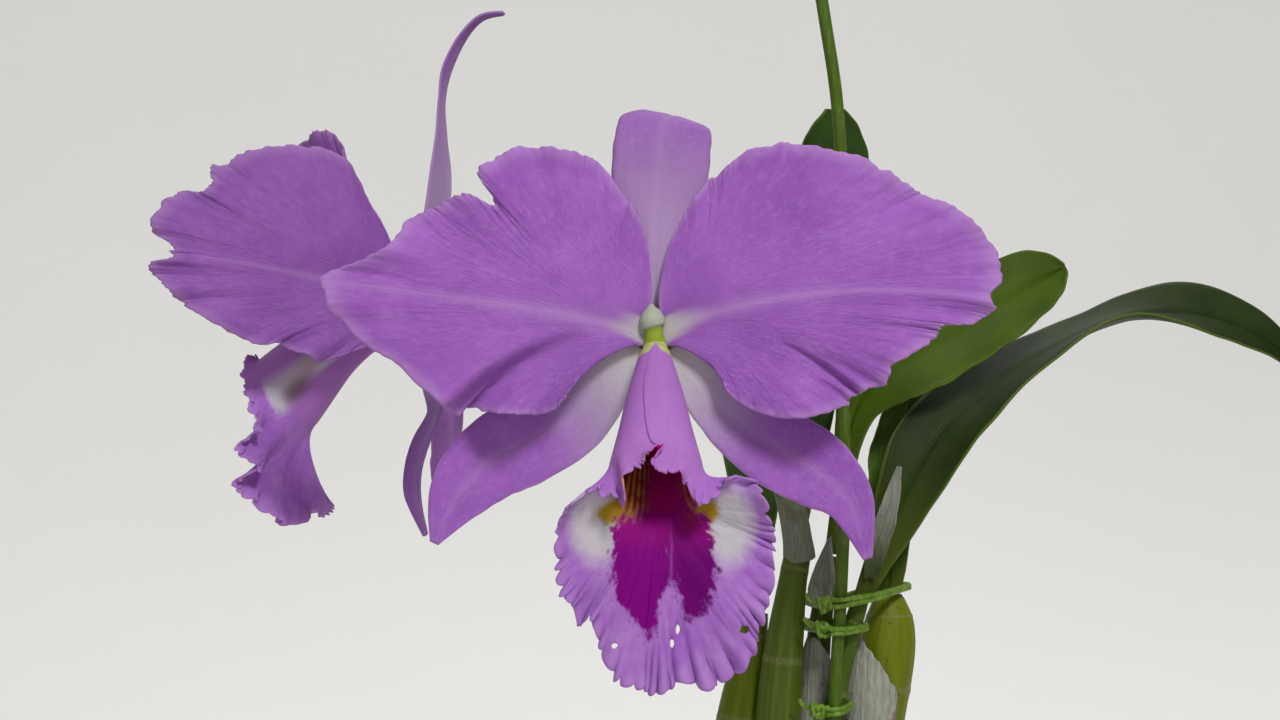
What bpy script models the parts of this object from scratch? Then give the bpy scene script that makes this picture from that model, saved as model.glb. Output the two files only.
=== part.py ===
"""A cattleya orchid in bloom, tied to a stake in a plain clay pot.

Lengths are in millimetres and become metres where a mesh is made. The origin is the middle of the pot's
underside and +Z is up. Flower 1 looks along -Y, and flower 2 looks along -X behind its shoulder.
"""
import random
from math import cos, exp, hypot, pi, radians, sin, tanh

import bmesh
import bpy
from mathutils import Matrix, Vector

MM = 0.001
GAP = 0.3                       # between pieces that touch

# Pot and bark
POT_HEIGHT = 112.0
POT_RIM_RADIUS = 70.0
POT_RIM_DEPTH = 20.0
POT_SHOULDER_RADIUS = 64.0
POT_FOOT_RADIUS = 47.0
POT_WALL = 5.0
POT_FLOOR = 6.0
POT_SIDES = 32
DRAIN_RADIUS = 5.0
DRAIN_RING = 24.0
DRAIN_COUNT = 4
BARK_TOP = 102.0
BARK_CHIP = 17.0
BARK_CHIP_COUNT = 30
BARK_SEED = 11

# Rhizome and roots
RHIZOME_RADIUS = 4.6
RHIZOME_AXIS = BARK_TOP + GAP + RHIZOME_RADIUS
SEAT_TOP = RHIZOME_AXIS + RHIZOME_RADIUS + 2.0
SEAT_RADIUS = 3.4
ROOT_RADIUS = 1.7

# Stake and ties
STAKE_RADIUS = 1.8
STAKE_FOOT = 44.0
TIE_RADIUS = 0.8

# Blades
PETAL_THICKNESS = 0.7
SEPAL_THICKNESS = 0.8
LIP_THICKNESS = 0.7
LEAF_THICKNESS = 1.3
SHEATH_THICKNESS = 0.6

# Flowers, each round the point where its petals meet
FLOWER_1 = Vector((-45.0, -90.0, 350.0))
FLOWER_2 = Vector((-110.0, -35.0, 356.0))
FLOWER_2_TURN = radians(-97.0)
DISC_BACK = 2.0                 # the disc behind the sepals, on the ovary
DISC_RADIUS = 6.5
VEIN_REACH = 0.38               # how far a vein keeps to the midrib before it fans out
LIP_TUBE_SHARE = 0.42           # share of the lip's length that is rolled into a tube
LIP_SEAM = radians(177.0)       # where the lip's two margins meet above the column
NOTCH_REACH = 0.08              # share of a margin over which a notch is evened out for the veins
PETAL_WAVES = 11
PETAL_WAVE_HEIGHT = 1.3
LIP_WAVES = 8
LIP_WAVE_HEIGHT = 2.2


def clear_scene():
    """Take away whatever the file opens with."""
    for thing in list(bpy.data.objects):
        bpy.data.objects.remove(thing)


def collection(name):
    made = bpy.data.collections.new(name)
    bpy.context.scene.collection.children.link(made)
    return made


def material(name, colour, roughness=0.5):
    made = bpy.data.materials.new(name)
    made.use_nodes = True
    shader = made.node_tree.nodes["Principled BSDF"]
    shader.inputs["Base Color"].default_value = (*colour, 1.0)
    shader.inputs["Roughness"].default_value = roughness
    shader.inputs["Metallic"].default_value = 0.0
    return made


clear_scene()
ORCHID = collection("cattleya_orchid")
CUTTERS = collection("cutters")

LILAC = material("lilac_petal", (0.42, 0.16, 0.58), 0.5)
LIP_LILAC = material("lip", (0.36, 0.08, 0.46), 0.5)
WHITE_WAX = material("column_wax", (0.75, 0.72, 0.62), 0.4)
STALK_GREEN = material("flower_stalk", (0.42, 0.52, 0.24), 0.5)
LEAF_GREEN = material("leaf", (0.10, 0.20, 0.02), 0.4)
BULB_GREEN = material("pseudobulb", (0.26, 0.34, 0.05), 0.45)
DRY_SHEATH = material("dry_sheath", (0.55, 0.52, 0.45), 0.8)
ROOT_WHITE = material("rhizome_and_roots", (0.45, 0.46, 0.36), 0.8)
STAKE_GREEN = material("stake", (0.12, 0.30, 0.03), 0.4)
BARK = material("bark", (0.16, 0.08, 0.04), 0.9)
TERRACOTTA = material("terracotta", (0.50, 0.20, 0.10), 0.85)


def curve_at(points, t):
    """The place at t, 0 to 1, on a smooth curve through points that may also carry a radius."""
    span = t * (len(points) - 1)
    i = min(int(span), len(points) - 2)
    s = span - i
    four = (points[max(i - 1, 0)], points[i], points[i + 1], points[min(i + 2, len(points) - 1)])
    return [
        0.5 * (2 * b + (c - a) * s + (2 * a - 5 * b + 4 * c - d) * s ** 2 + (3 * b - a - 3 * c + d) * s ** 3)
        for a, b, c, d in zip(*four)
    ]


def point_at(points, t):
    return Vector(curve_at(points, t)[:3])


def evened_at(points, t):
    """The place at t on the same curve with its notches and lobes evened out."""
    reach = min(NOTCH_REACH, t, 1 - t)
    near = [point_at(points, t + reach * share) for share in (-1.0, -0.5, 0.0, 0.5, 1.0)]
    return sum(near, Vector()) / len(near)


def direction_at(points, t):
    step = 0.01
    return (point_at(points, min(t + step, 1.0)) - point_at(points, max(t - step, 0.0))).normalized()


def add_object(name, mesh, look, group=ORCHID):
    piece = bpy.data.objects.new(name, mesh)
    piece.data.materials.append(look)
    group.objects.link(piece)
    return piece


def sheet(name, columns, rows, place, thickness, look):
    """A thin blade: a flat grid whose points place(a, b) moves, a and b running from 0 to 1."""
    bm = bmesh.new()
    bmesh.ops.create_grid(bm, x_segments=columns, y_segments=rows, size=0.5)
    for vert in bm.verts:
        vert.co = place(vert.co.x + 0.5, vert.co.y + 0.5) * MM
    mesh = bpy.data.meshes.new(name)
    bm.to_mesh(mesh)
    bm.free()
    mesh.shade_smooth()
    piece = add_object(name, mesh, look)
    piece.modifiers.new("Triangles", "TRIANGULATE")
    thick = piece.modifiers.new("Thickness", "SOLIDIFY")
    thick.thickness = thickness * MM
    thick.offset = 0.0
    return piece


def tube(name, points, samples, look, sides=8, closed=False, group=ORCHID):
    """A round stem through points (x, y, z, radius), as a bevelled curve with filled ends."""
    curve = bpy.data.curves.new(name, "CURVE")
    curve.dimensions = "3D"
    curve.bevel_depth = MM
    curve.bevel_resolution = (sides - 4) // 2
    curve.use_fill_caps = not closed
    spline = curve.splines.new("POLY")
    spline.points.add(samples - 1)
    spline.use_cyclic_u = closed
    for i, point in enumerate(spline.points):
        x, y, z, radius = curve_at(points, i / (samples - 1 + closed))
        point.co = (x * MM, y * MM, z * MM, 1.0)
        point.radius = radius
    return add_object(name, curve, look, group)


def solid_mesh(curved):
    """Turn a curve object into a mesh object with its caps welded, so that it can be cut or joined."""
    bpy.context.view_layer.update()
    shown = curved.evaluated_get(bpy.context.evaluated_depsgraph_get())
    mesh = bpy.data.meshes.new_from_object(shown)
    bm = bmesh.new()
    bm.from_mesh(mesh)
    bmesh.ops.remove_doubles(bm, verts=bm.verts, dist=0.00001)
    bm.to_mesh(mesh)
    bm.free()
    name = curved.name
    group = curved.users_collection[0]
    bpy.data.objects.remove(curved)
    piece = bpy.data.objects.new(name, mesh)
    group.objects.link(piece)
    return piece


def join(piece, others):
    """Unite piece with other closed meshes, which are then removed."""
    group = collection(piece.name + "_joined")
    for other in others:
        for home in other.users_collection:
            home.objects.unlink(other)
        group.objects.link(other)
    union = piece.modifiers.new("Union", "BOOLEAN")
    union.operation = "UNION"
    union.operand_type = "COLLECTION"
    union.collection = group
    union.solver = "MANIFOLD"
    bpy.context.view_layer.update()
    shown = piece.evaluated_get(bpy.context.evaluated_depsgraph_get())
    mesh = bpy.data.meshes.new_from_object(shown)
    piece.modifiers.remove(union)
    piece.data = mesh
    for other in others:
        bpy.data.objects.remove(other)
    bpy.data.collections.remove(group)


def turned(name, profile, steps, look):
    """A solid turned about Z from (radius, height) points that end down its outer side."""
    mesh = bpy.data.meshes.new(name)
    bm = bmesh.new()
    verts = [bm.verts.new((radius * MM, 0.0, height * MM)) for radius, height in profile]
    for lower, upper in zip(verts, verts[1:]):
        bm.edges.new((lower, upper))
    bm.to_mesh(mesh)
    bm.free()
    piece = add_object(name, mesh, look)
    screw = piece.modifiers.new("Turn", "SCREW")
    screw.steps = steps
    screw.render_steps = steps
    screw.use_merge_vertices = True
    screw.merge_threshold = 0.0001
    return piece


def drill(piece, name, place, radius, depth):
    """Cut an upright round hole whose middle is at place."""
    mesh = bpy.data.meshes.new(name)
    bm = bmesh.new()
    bmesh.ops.create_cone(bm, cap_ends=True, segments=16, radius1=radius * MM, radius2=radius * MM,
                          depth=depth * MM)
    bm.to_mesh(mesh)
    bm.free()
    cutter = bpy.data.objects.new(name, mesh)
    CUTTERS.objects.link(cutter)
    cutter.location = Vector(place) * MM
    cutter.hide_render = True
    cutter.display_type = "WIRE"
    hole = piece.modifiers.new(name, "BOOLEAN")
    hole.operation = "DIFFERENCE"
    hole.object = cutter


def strap_place(route, half_widths, faces, cup):
    """Place points on a long blade: a midline, its half widths and the way its front faces.

    A positive cup lifts both edges to the front, as a gutter.
    """
    widths = [(width,) for width in half_widths]

    def place(a, b):
        forward = direction_at(route, a)
        across = forward.cross(Vector(curve_at(faces, a))).normalized()
        front = across.cross(forward)
        width = curve_at(widths, a)[0]
        side = 2 * b - 1
        return point_at(route, a) + across * (side * width) + front * (cup * width * side * side)

    return place


def fold_depth(fold, along, up):
    """How far a petal steps back below its fold line and comes forward above it."""
    (x1, z1), (x2, z2), depth, reach = fold
    length = hypot(x2 - x1, z2 - z1)
    dx, dz = (x2 - x1) / length, (z2 - z1) / length
    ahead = ((along - x1) * dx + (up - z1) * dz) / length
    above = (up - z1) * dx - (along - x1) * dz
    grown = min(max(ahead, 0.0), 1.0)
    return depth * grown * tanh(above / 2.5) * exp(-abs(above) / reach)


def petal(name, centre, out, front, claw, margin, vein, arch, fold, columns=42, rows=6):
    """A broad petal, its veins fanning from the claw to the margin.

    claw and margin hold (outward, upward, forward) from the flower's centre, in the petal's own plane.
    """
    up = front.cross(out).normalized()
    if up.z < 0:
        up = -up

    def place(a, b):
        root = Vector(claw[0]).lerp(Vector(claw[1]), a)
        edge = point_at(margin, a)
        even = evened_at(margin, a)
        knee = root + Vector(vein) * VEIN_REACH * (even - root).length
        knee.z = (root.z + even.z) / 2 + arch
        flat = root * (1 - b) ** 2 + knee * (2 * b * (1 - b)) + even * b ** 2 + (edge - even) * b ** 5
        ends = min(1.0, 7 * a, 7 * (1 - a))
        ruffle = PETAL_WAVE_HEIGHT * b ** 4 * ends * sin(2 * pi * PETAL_WAVES * a + 2 * sin(9 * a))
        forward = flat.z + ruffle + b * fold_depth(fold, flat.x, flat.y)
        return centre + out * flat.x + up * flat.y + front * forward

    return sheet(name, columns, rows, place, PETAL_THICKNESS, LILAC)


def lip(name, stand, rings, margin, columns=44, rows=10):
    """The lip: a tube rolled round the column, its mouth flaring into a ruffled lobe.

    rings hold the tube's (y, z, radius), and margin runs from the left seam round the lobe to the right.
    """
    centres = [(0.0, y, z, radius) for y, z, radius in rings]

    def ring_at(v, turn):
        x, y, z, radius = curve_at(centres, v)
        axis = direction_at(centres, v)
        roof = Vector((0.0, axis.z, -axis.y))
        return Vector((sin(turn) * radius, y, z)) - roof * (cos(turn) * radius)

    def place(a, b):
        side = 2 * a - 1
        turn = LIP_SEAM * abs(side) ** 1.5 * (1 if side > 0 else -1)
        if b < LIP_TUBE_SHARE:
            return stand @ ring_at(b / LIP_TUBE_SHARE, turn)
        out = (b - LIP_TUBE_SHARE) / (1 - LIP_TUBE_SHARE)
        root = ring_at(1.0, turn)
        edge = point_at(margin, a)
        knee = root + direction_at(centres, 1.0) * (0.35 * (edge - root).length)
        flared = root * (1 - out) ** 2 + knee * (2 * out * (1 - out)) + edge * out ** 2
        lobe = max(0.0, 1 - abs(side) / 0.8) ** 0.5
        ruffle = out ** 3 * lobe * sin(2 * pi * LIP_WAVES * a + 2.5 * sin(7 * a))
        return stand @ (flared + Vector((0.0, LIP_WAVE_HEIGHT * ruffle, 0.0)))

    return sheet(name, columns, rows, place, LIP_THICKNESS, LIP_LILAC)


def placed(stand, points):
    """Points (x, y, z, radius) of a flower, moved to where the flower stands."""
    moved = []
    for x, y, z, radius in points:
        place = stand @ Vector((x, y, z))
        moved.append((*place, radius))
    return moved


def sepal(name, stand, route, half_widths, faces, cup):
    inner = strap_place(route, half_widths, faces, cup)
    return sheet(name, 13, 4, lambda a, b: stand @ inner(a, b), SEPAL_THICKNESS, LILAC)


def flower_1():
    """The front flower, seen face on."""
    stand = Matrix.Translation(FLOWER_1)
    front = Vector((0.0, -1.0, 0.0))
    sepal("flower_1_dorsal_sepal", stand,
          [(0, 1.4, 5.8), (0, 1.2, 16), (0.5, 1.2, 28), (1.2, 1.2, 38), (1.8, 2.4, 47),
           (2.8, 6, 53), (4.5, 12, 55.5), (7, 18, 54), (9, 22, 50)],
          [3.6, 7, 10.5, 12.2, 12.5, 11.8, 9, 5.5, 1.2],
          [(0, -1, 0), (0, -1, 0), (0, -1, 0.3), (0.1, -0.5, 1), (0.3, 0.3, 1)], -0.08)
    sepal("flower_1_left_sepal", stand,
          [(-3.6, 1.3, -4.4), (-11, 2.0, -12.5), (-21, 5, -22), (-32, 7.5, -28), (-43, 8.5, -34),
           (-51, 7, -43), (-56.5, 5, -54.5)],
          [3.0, 6.5, 10, 11.3, 10.5, 7.5, 1.2], [(0, -1, 0), (0, -1, 0.2), (0, -1, 0)], 0.08)
    sepal("flower_1_right_sepal", stand,
          [(4.2, 1.3, -4.6), (11, 2.0, -13), (20, 5, -22), (30.5, 7.5, -29.5), (41.5, 8.5, -36),
           (50, 7, -44), (54.5, 5, -58.5)],
          [3.0, 6.2, 8.8, 10.5, 10, 6.5, 1.2], [(0, -1, 0), (0, -1, 0.2), (0, -1, 0)], 0.08)
    petal("flower_1_left_petal", FLOWER_1, Vector((-1.0, 0.0, 0.0)), front,
          [(4.6, 1.8, 0), (4.5, -4, 0)],
          [(1, 9.5, 1.5), (1.5, 19, 2), (3, 26, 2.5), (6, 31.5, 3), (12.5, 40, 4), (18.5, 44.5, 5),
           (29, 46, 6), (38.5, 44.5, 6.5), (44, 39, 7), (40.5, 33.5, 6.5), (41.5, 31.5, 6.5),
           (47.5, 34, 7), (55, 31, 7), (60.5, 29, 7), (67, 21, 7.5), (78, 16, 8), (83, 13, 8),
           (81, 4.5, 8), (72.5, -4, 7.5), (62.5, -10, 7), (51, -21.5, 6.5), (49, -19.5, 3.5),
           (42.5, -20.5, 5), (34.5, -21.5, 5.5), (26, -20.5, 4.5), (21.5, -15, 3.5), (17.5, -9.5, 2.5),
           (12.5, -5, 1.5), (7.5, -3.5, 0.8)],
          (0.95, 0.30, 0), 1.5, ((24, 0), (51, -19), 2.2, 9.0))
    petal("flower_1_right_petal", FLOWER_1, Vector((1.0, 0.0, 0.0)), front,
          [(3.3, 1.3, 0), (4, -4, 0)],
          [(1, 9.5, 1.5), (3.5, 21, 2), (7, 28.5, 2.5), (11.5, 35.5, 3), (16.5, 40, 3.5), (22.5, 44.5, 4.5),
           (32, 47, 5.5), (39.5, 46, 6), (52.5, 43, 6.5), (62.5, 37, 7), (68, 33.5, 7), (74.5, 31, 7.5),
           (82.5, 24, 8), (87, 14, 8), (84, 7.5, 8), (84.5, 4.5, 8), (79.5, 1.5, 7.5), (72.5, 1, 7.5),
           (69.5, -2.5, 7), (60.5, -8.5, 6.5), (58, -13.5, 6), (51, -16, 4), (47.5, -19, 4.5),
           (38, -22.5, 5), (26.5, -21, 4.5), (18.5, -16, 3), (16.5, -11, 2.5), (12, -6, 1.5), (7.5, -4, 0.8)],
          (0.90, 0.42, 0), 1.5, ((32, 2), (60, -15), 2.2, 9.0))
    lip("flower_1_lip", stand,
        [(-2.4, -5.8, 3.4), (-8, -11.5, 5.2), (-16, -18.5, 7.2), (-26, -26, 8.9), (-37, -33.6, 10.9)],
        [(0.2, -45, -28), (-3.8, -46, -31.5), (-9.6, -45, -33.5), (-11, -42, -37.5), (-15.5, -42, -38),
         (-20.5, -42, -42), (-23.5, -40, -46), (-24, -38, -52), (-22.5, -37, -60), (-20.5, -37, -65),
         (-18.5, -37, -71), (-15.5, -39, -69.5), (-13, -38, -77.5), (-7, -36, -84.5), (0, -36, -86.5),
         (6, -36.5, -84.5), (14.5, -36, -84.5), (21.5, -36, -80.5), (25, -36, -71), (28.5, -36, -61.5),
         (28, -38, -52.5), (28, -40, -47), (24.5, -42, -38.5), (20, -43, -35), (14.5, -43, -37.5),
         (11.5, -44, -36.5), (7.5, -46, -33.5), (3.2, -46.5, -33.5), (2.3, -46, -28.3)])
    tube("flower_1_column", placed(stand, [
        (-0.7, -1.9, 6.1, 1.4), (-0.7, -1.9, 5.2, 3.0), (-0.6, -1.9, 2.8, 3.6), (-0.2, -1.8, 0, 2.9),
        (0, -2.0, -3.4, 2.2), (0, -2.6, -5.9, 2.2), (0, -7, -10.6, 2.9), (0, -13.5, -16.4, 3.7),
        (0, -20, -21.5, 4.0), (0, -24, -24.5, 3.0), (0, -25, -25.3, 1.5)]), 14, WHITE_WAX)
    tube("flower_1_stalk", placed(stand, [
        (0, DISC_BACK, 0.5, DISC_RADIUS), (0, 3.4, 0.4, DISC_RADIUS - 0.6), (0, 5.0, 0, 3.6), (0.2, 12, -0.6, 3.4),
        (1, 22, -2, 3.7), (3, 33, -5, 3.3), (7, 46, -9, 2.4), (13, 58, -14, 2.1), (18.5, 66.5, -18.4, 2.1)]),
        18, STALK_GREEN)


def flower_2():
    """The flower behind, seen from its side: its near petal shows its back."""
    stand = Matrix.Translation(FLOWER_2) @ Matrix.Rotation(FLOWER_2_TURN, 4, "Z")
    sepal("flower_2_dorsal_sepal", stand,
          [(0, 1.3, 5.8), (0.5, 3.4, 18), (1, 6.8, 31), (1, 7.6, 45), (0.5, 6.9, 57), (0, 8.5, 66),
           (0, 12.5, 75), (0, 17.5, 80.5), (0, 24, 82)],
          [3.6, 7.5, 10.5, 11, 9.5, 7.5, 5.5, 3.5, 1.2],
          [(-0.05, -1, 0), (-0.3, -1, 0), (-0.15, -1, 0), (0, -1, 0.4), (0, -0.4, 1)], 0.12)
    sepal("flower_2_left_sepal", stand,
          [(-3.8, 1.2, -4.6), (-9, 2.2, -14), (-16, 4.8, -25), (-23, 4.0, -35), (-28, 1.5, -45), (-30, 0, -56)],
          [3.0, 6.5, 9, 9, 6.5, 1.2], [(-0.3, -1, 0), (-0.4, -1, 0), (-0.4, -1, 0)], 0.10)
    sepal("flower_2_right_sepal", stand,
          [(3.8, 1.2, -4.6), (8, 3.5, -13), (13, 8, -25), (18, 5, -37), (21.5, 3.5, -48), (23, 6.9, -60.5)],
          [3.0, 6.5, 9.5, 9.5, 7, 1.2], [(0.3, -1, 0), (0.55, -1, 0), (0.6, -1, 0)], 0.10)
    outline = [
        (5, 11, -1.5), (9.9, 18, -2.5), (15, 27.7, -2.5), (20, 36.8, -2), (27, 42.5, -1.5), (38, 44, -1),
        (49, 42.5, -0.5), (58, 38, 0), (62, 34.8, 0), (63.4, 30.5, 0), (67, 30.6, 0.5), (73, 28.6, 1),
        (78, 21.4, 2), (71, 16, 1.5), (72, 14, 1.5), (76.4, 11.5, 2), (75, 7, 2), (70, 2.6, 1.5),
        (65, -1.3, 1), (57, -6, 0.5), (48, -9.4, 0), (42, -9, 0), (36, -12, -1), (31, -14.4, -1.5),
        (24.4, -12.5, -2), (16.6, -9.5, -2.5), (9, -6, -3)]
    petal("flower_2_right_petal", FLOWER_2, Vector((-0.84, -0.543, 0.0)), Vector((-0.543, 0.84, 0.0)),
          [(1.9, 3, -3.1), (1.9, -3.5, -3.1)], outline, (0.93, 0.37, 0), -3.0, ((30, -4), (66, -2), 1.5, 8.0), 36)
    far_outline = [
        (5, 11, -1.5), (11.5, 20, -2.5), (19, 31, -2.5), (26, 40.5, -2), (31, 46, -1.5), (39, 50, -1),
        (48, 47.5, -0.5), (57, 42, 0), (65, 36.5, 0.5), (72, 29, 1), (76, 21, 1.5), (76.5, 12, 1.5),
        (72, 4, 1.5), (65, -1.3, 1), (57, -6, 0.5), (46, -10, 0), (36, -12, -1), (24.4, -12, -2),
        (16.6, -9.5, -2.5), (9, -6, -3)]
    far_out = Vector((-0.80, 0.597, 0.06)).normalized()
    petal("flower_2_left_petal", FLOWER_2, far_out, Vector((-0.598, -0.801, 0.0)),
          [(2.6, 3, -3.1), (2.6, -3.5, -3.1)], far_outline, (0.93, 0.37, 0), -2.0, ((30, -4), (66, -2), 1.5, 8.0), 30, 5)
    lip("flower_2_lip", stand,
        [(-5.2, -2.6, 3.6), (-10, -4.6, 4.8), (-17, -6.5, 6.4), (-27, -12, 9.5), (-38, -22, 12.5)],
        [(-0.8, -46, -13.5), (-7, -47, -15), (-13, -46.5, -19), (-20, -44, -25), (-25, -43, -32), (-26, -43, -40),
         (-24, -41, -48), (-18, -37, -56), (-9, -30, -58), (0, -25, -53.5), (9, -30, -58),
         (17, -36.5, -57.5), (22, -40.5, -51), (25, -43, -44), (25, -43, -36), (20, -43.5, -26), (13, -46.5, -19),
         (7, -47, -15), (1.6, -46, -13.5)], 34, 8)
    tube("flower_2_column", placed(stand, [
        (0, -1.9, 6.1, 1.4), (0, -1.9, 5.2, 3.0), (0, -1.9, 2.8, 3.5), (0, -2.8, 0.2, 2.6),
        (0, -5.2, -2.3, 2.4), (0, -9.5, -4.3, 2.9), (0, -16, -6.2, 3.6), (0, -22, -9, 3.9),
        (0, -26, -11.5, 2.8), (0, -27.2, -12.3, 1.4)]), 13, WHITE_WAX)
    tube("flower_2_stalk", placed(stand, [
        (0, DISC_BACK, 0.5, DISC_RADIUS), (0, 3.4, 0.4, DISC_RADIUS - 0.6), (0, 5.0, 0, 3.6), (0, 13, -1.4, 3.4),
        (-0.5, 23, -3.4, 3.7), (-2, 34, -7, 3.3), (-4, 48, -12, 2.4), (-6, 62, -17.5, 2.1),
        (-8, 76.0, -23.5, 2.1)]), 18, STALK_GREEN)


# Plant: routes hold (x, y, z, radius) from the rhizome upwards
BULBS = {
    "pseudobulb_olive": [
        (22, 5, SEAT_TOP + GAP, 3.2), (21, 5.5, 135, 4.6), (19.5, 6, 170, 5.6), (18.5, 6, 205, 6.8),
        (20, 6, 232, 8.4), (23, 6, 253, 8.8), (24.5, 6, 264, 7.6), (24.6, 6, 271, 5.2), (24.6, 6, 273.5, 3.6)],
    "pseudobulb_green": [
        (-9, -4.5, SEAT_TOP + GAP, 3.2), (-9.6, -5, 140, 4.6), (-10, -6, 180, 5.8), (-9.6, -6.5, 220, 6.6),
        (-8.6, -6.5, 243, 6.4), (-6.8, -6, 262, 5.4), (-4.8, -5.5, 277, 4.2), (-2.9, -5, 287, 3.9),
        (-2.2, -5, 290.5, 3.7)],
    "pseudobulb_yellow": [
        (-22, -2, SEAT_TOP + GAP, 3.2), (-23.5, -2, 140, 4.6), (-24, -1.5, 175, 5.8), (-22.5, -0.5, 210, 6.6),
        (-20, 1, 236, 6.6), (-17, 2.5, 254, 5.2), (-15, 3.5, 265, 3.8), (-14.4, 3.8, 268.5, 3.2)],
    "pseudobulb_slim_left": [
        (2, 1, SEAT_TOP + GAP, 3.0), (1, 1.5, 140, 3.0), (1, 2, 180, 3.3), (1.6, 2, 220, 3.7),
        (2.4, 2, 245, 3.9), (4, 2, 265, 3.4), (6.4, 2.2, 280, 2.7), (7.4, 2.4, 285, 2.5)],
    "pseudobulb_slim_right": [
        (8.5, -6.5, SEAT_TOP + GAP, 2.8), (8, -6.8, 140, 2.7), (7, -7, 180, 2.7), (7, -7.2, 220, 2.8),
        (8, -7.6, 245, 3.0), (11, -7.8, 260, 2.9), (13.8, -7.8, 270, 2.6), (14.8, -7.8, 273, 2.4)],
}

# Leaves: midline, half widths, the way the front faces, and the depth of the gutter
LEAVES = {
    "leaf_bright": (
        [(7.7, 2.4, 285.6), (10.2, 0, 304.5), (11.8, -2, 319), (14.8, -3, 329.5), (21.2, -3, 337.5),
         (30, -2, 343.6), (41.6, 0, 350.3), (54.5, 2, 358.2), (65, 3, 363.7), (75.8, 3, 368.6)],
        [2.2, 2.8, 4, 6.5, 10, 12.2, 12.8, 12, 9.2, 1.4],
        [(0, -1, 0.2), (0, -1, 0.3), (0, -1, 0.4)], 0.16),
    "leaf_long": (
        [(15.2, -7.8, 273.8), (19.9, -8.5, 284.7), (23.5, -8, 294), (30, -6, 308), (38.5, -2, 321),
         (49.5, 3, 332), (62.2, 8, 341.5), (75.5, 12, 349), (88.8, 16, 355), (102.2, 20, 358.2),
         (117, 23, 358), (130.3, 25, 354.5), (142, 26, 347.5), (149.5, 26, 340)],
        [2.4, 4, 6.5, 9.5, 11.5, 12.5, 13, 13, 12.5, 12, 11.5, 9.5, 6, 1.4],
        [(0, -1, 0.1), (0, -1, 0.3), (0.3, -0.7, 0.5), (0.4, -0.35, 1), (0.2, -0.5, 1), (0.4, -0.9, 0.4)], 0.22),
    "leaf_upright": (
        [(-2.3, -2.5, 291.2), (-2, 2, 300), (-0.5, 7, 318), (2, 11, 342), (5, 13, 368), (7.6, 14, 392),
         (9, 14, 408), (9.2, 13, 417)],
        [1.8, 3.2, 6.5, 10.5, 12.8, 12.2, 8.2, 1.6],
        [(0, -1, 0), (0.1, -1, 0), (0.1, -1, 0)], 0.18),
    "leaf_hidden": (
        [(-14.2, 3.8, 269.1), (-14.5, 8, 285), (-14.5, 13, 305), (-14, 18, 330), (-13.5, 21, 352), (-13, 23, 372),
         (-13, 24, 388)],
        [2.2, 4, 8, 11.5, 12, 8, 1.5],
        [(0, -1, 0), (-0.1, -1, 0), (-0.1, -1, 0)], 0.18),
    "leaf_of_olive_bulb": (
        [(24.6, 6, 274.1), (24.9, 7, 284), (25.5, 9.5, 297), (27.5, 12, 312), (30.5, 13, 326), (34, 13, 338)],
        [3.6, 5, 6.6, 8.4, 7.0, 1.4],
        [(0, -1, 0), (0, -1, 0.1), (0, -1, 0.2)], 0.20),
}

STAKE_ROUTE = [
    (7.2, -14.5, STAKE_FOOT + GAP), (7.2, -14.5, 80), (7.2, -14.5, 116), (6.9, -14.4, 160), (6.6, -14.2, 205),
    (6.9, -14, 245), (8.6, -14, 275), (9.6, -14, 305), (9.4, -14, 345), (9.0, -14, 385), (7.6, -14, 415),
    (5.0, -14, 440), (1.2, -14, 468)]

PEDUNCLE_ROUTE = [
    (-3.2, -7.4, 291.6, 1.7), (-4.2, -9.2, 299, 2.2), (-8, -12, 309, 2.2), (-13.5, -14.5, 318, 2.3),
    (-18.5, -16, 324.5, 2.6), (-22.9, -17.9, 328.7, 2.9), (-26.35, -23.27, 331.48, 2.4)]


def plant():
    for name, route in BULBS.items():
        tube(name, route, 13, BULB_GREEN, sides=10 if route[4][3] > 5 else 8)
    for name, (route, half_widths, faces, cup) in LEAVES.items():
        columns = len(route) + 4
        sheet(name, columns, 4, strap_place(route, half_widths, faces, cup), LEAF_THICKNESS, LEAF_GREEN)
    tube("peduncle", PEDUNCLE_ROUTE, 9, STALK_GREEN)


def sleeve(name, route, span, facing, drop, columns=8, rows=5):
    """A dry sheath: part of a cone round a stem's route, its top drawn out to a point."""
    facing = Vector(facing)

    def place(a, b):
        turn = (2 * a - 1) * span / 2
        height = b * (1 - drop * abs(2 * a - 1) ** 1.3)
        x, y, z, radius = curve_at(route, height)
        along = direction_at(route, height)
        front = (facing - along * facing.dot(along)).normalized()
        side = along.cross(front)
        return Vector((x, y, z)) + front * (radius * cos(turn)) + side * (radius * sin(turn))

    return sheet(name, columns, rows, place, SHEATH_THICKNESS, DRY_SHEATH)


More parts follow.
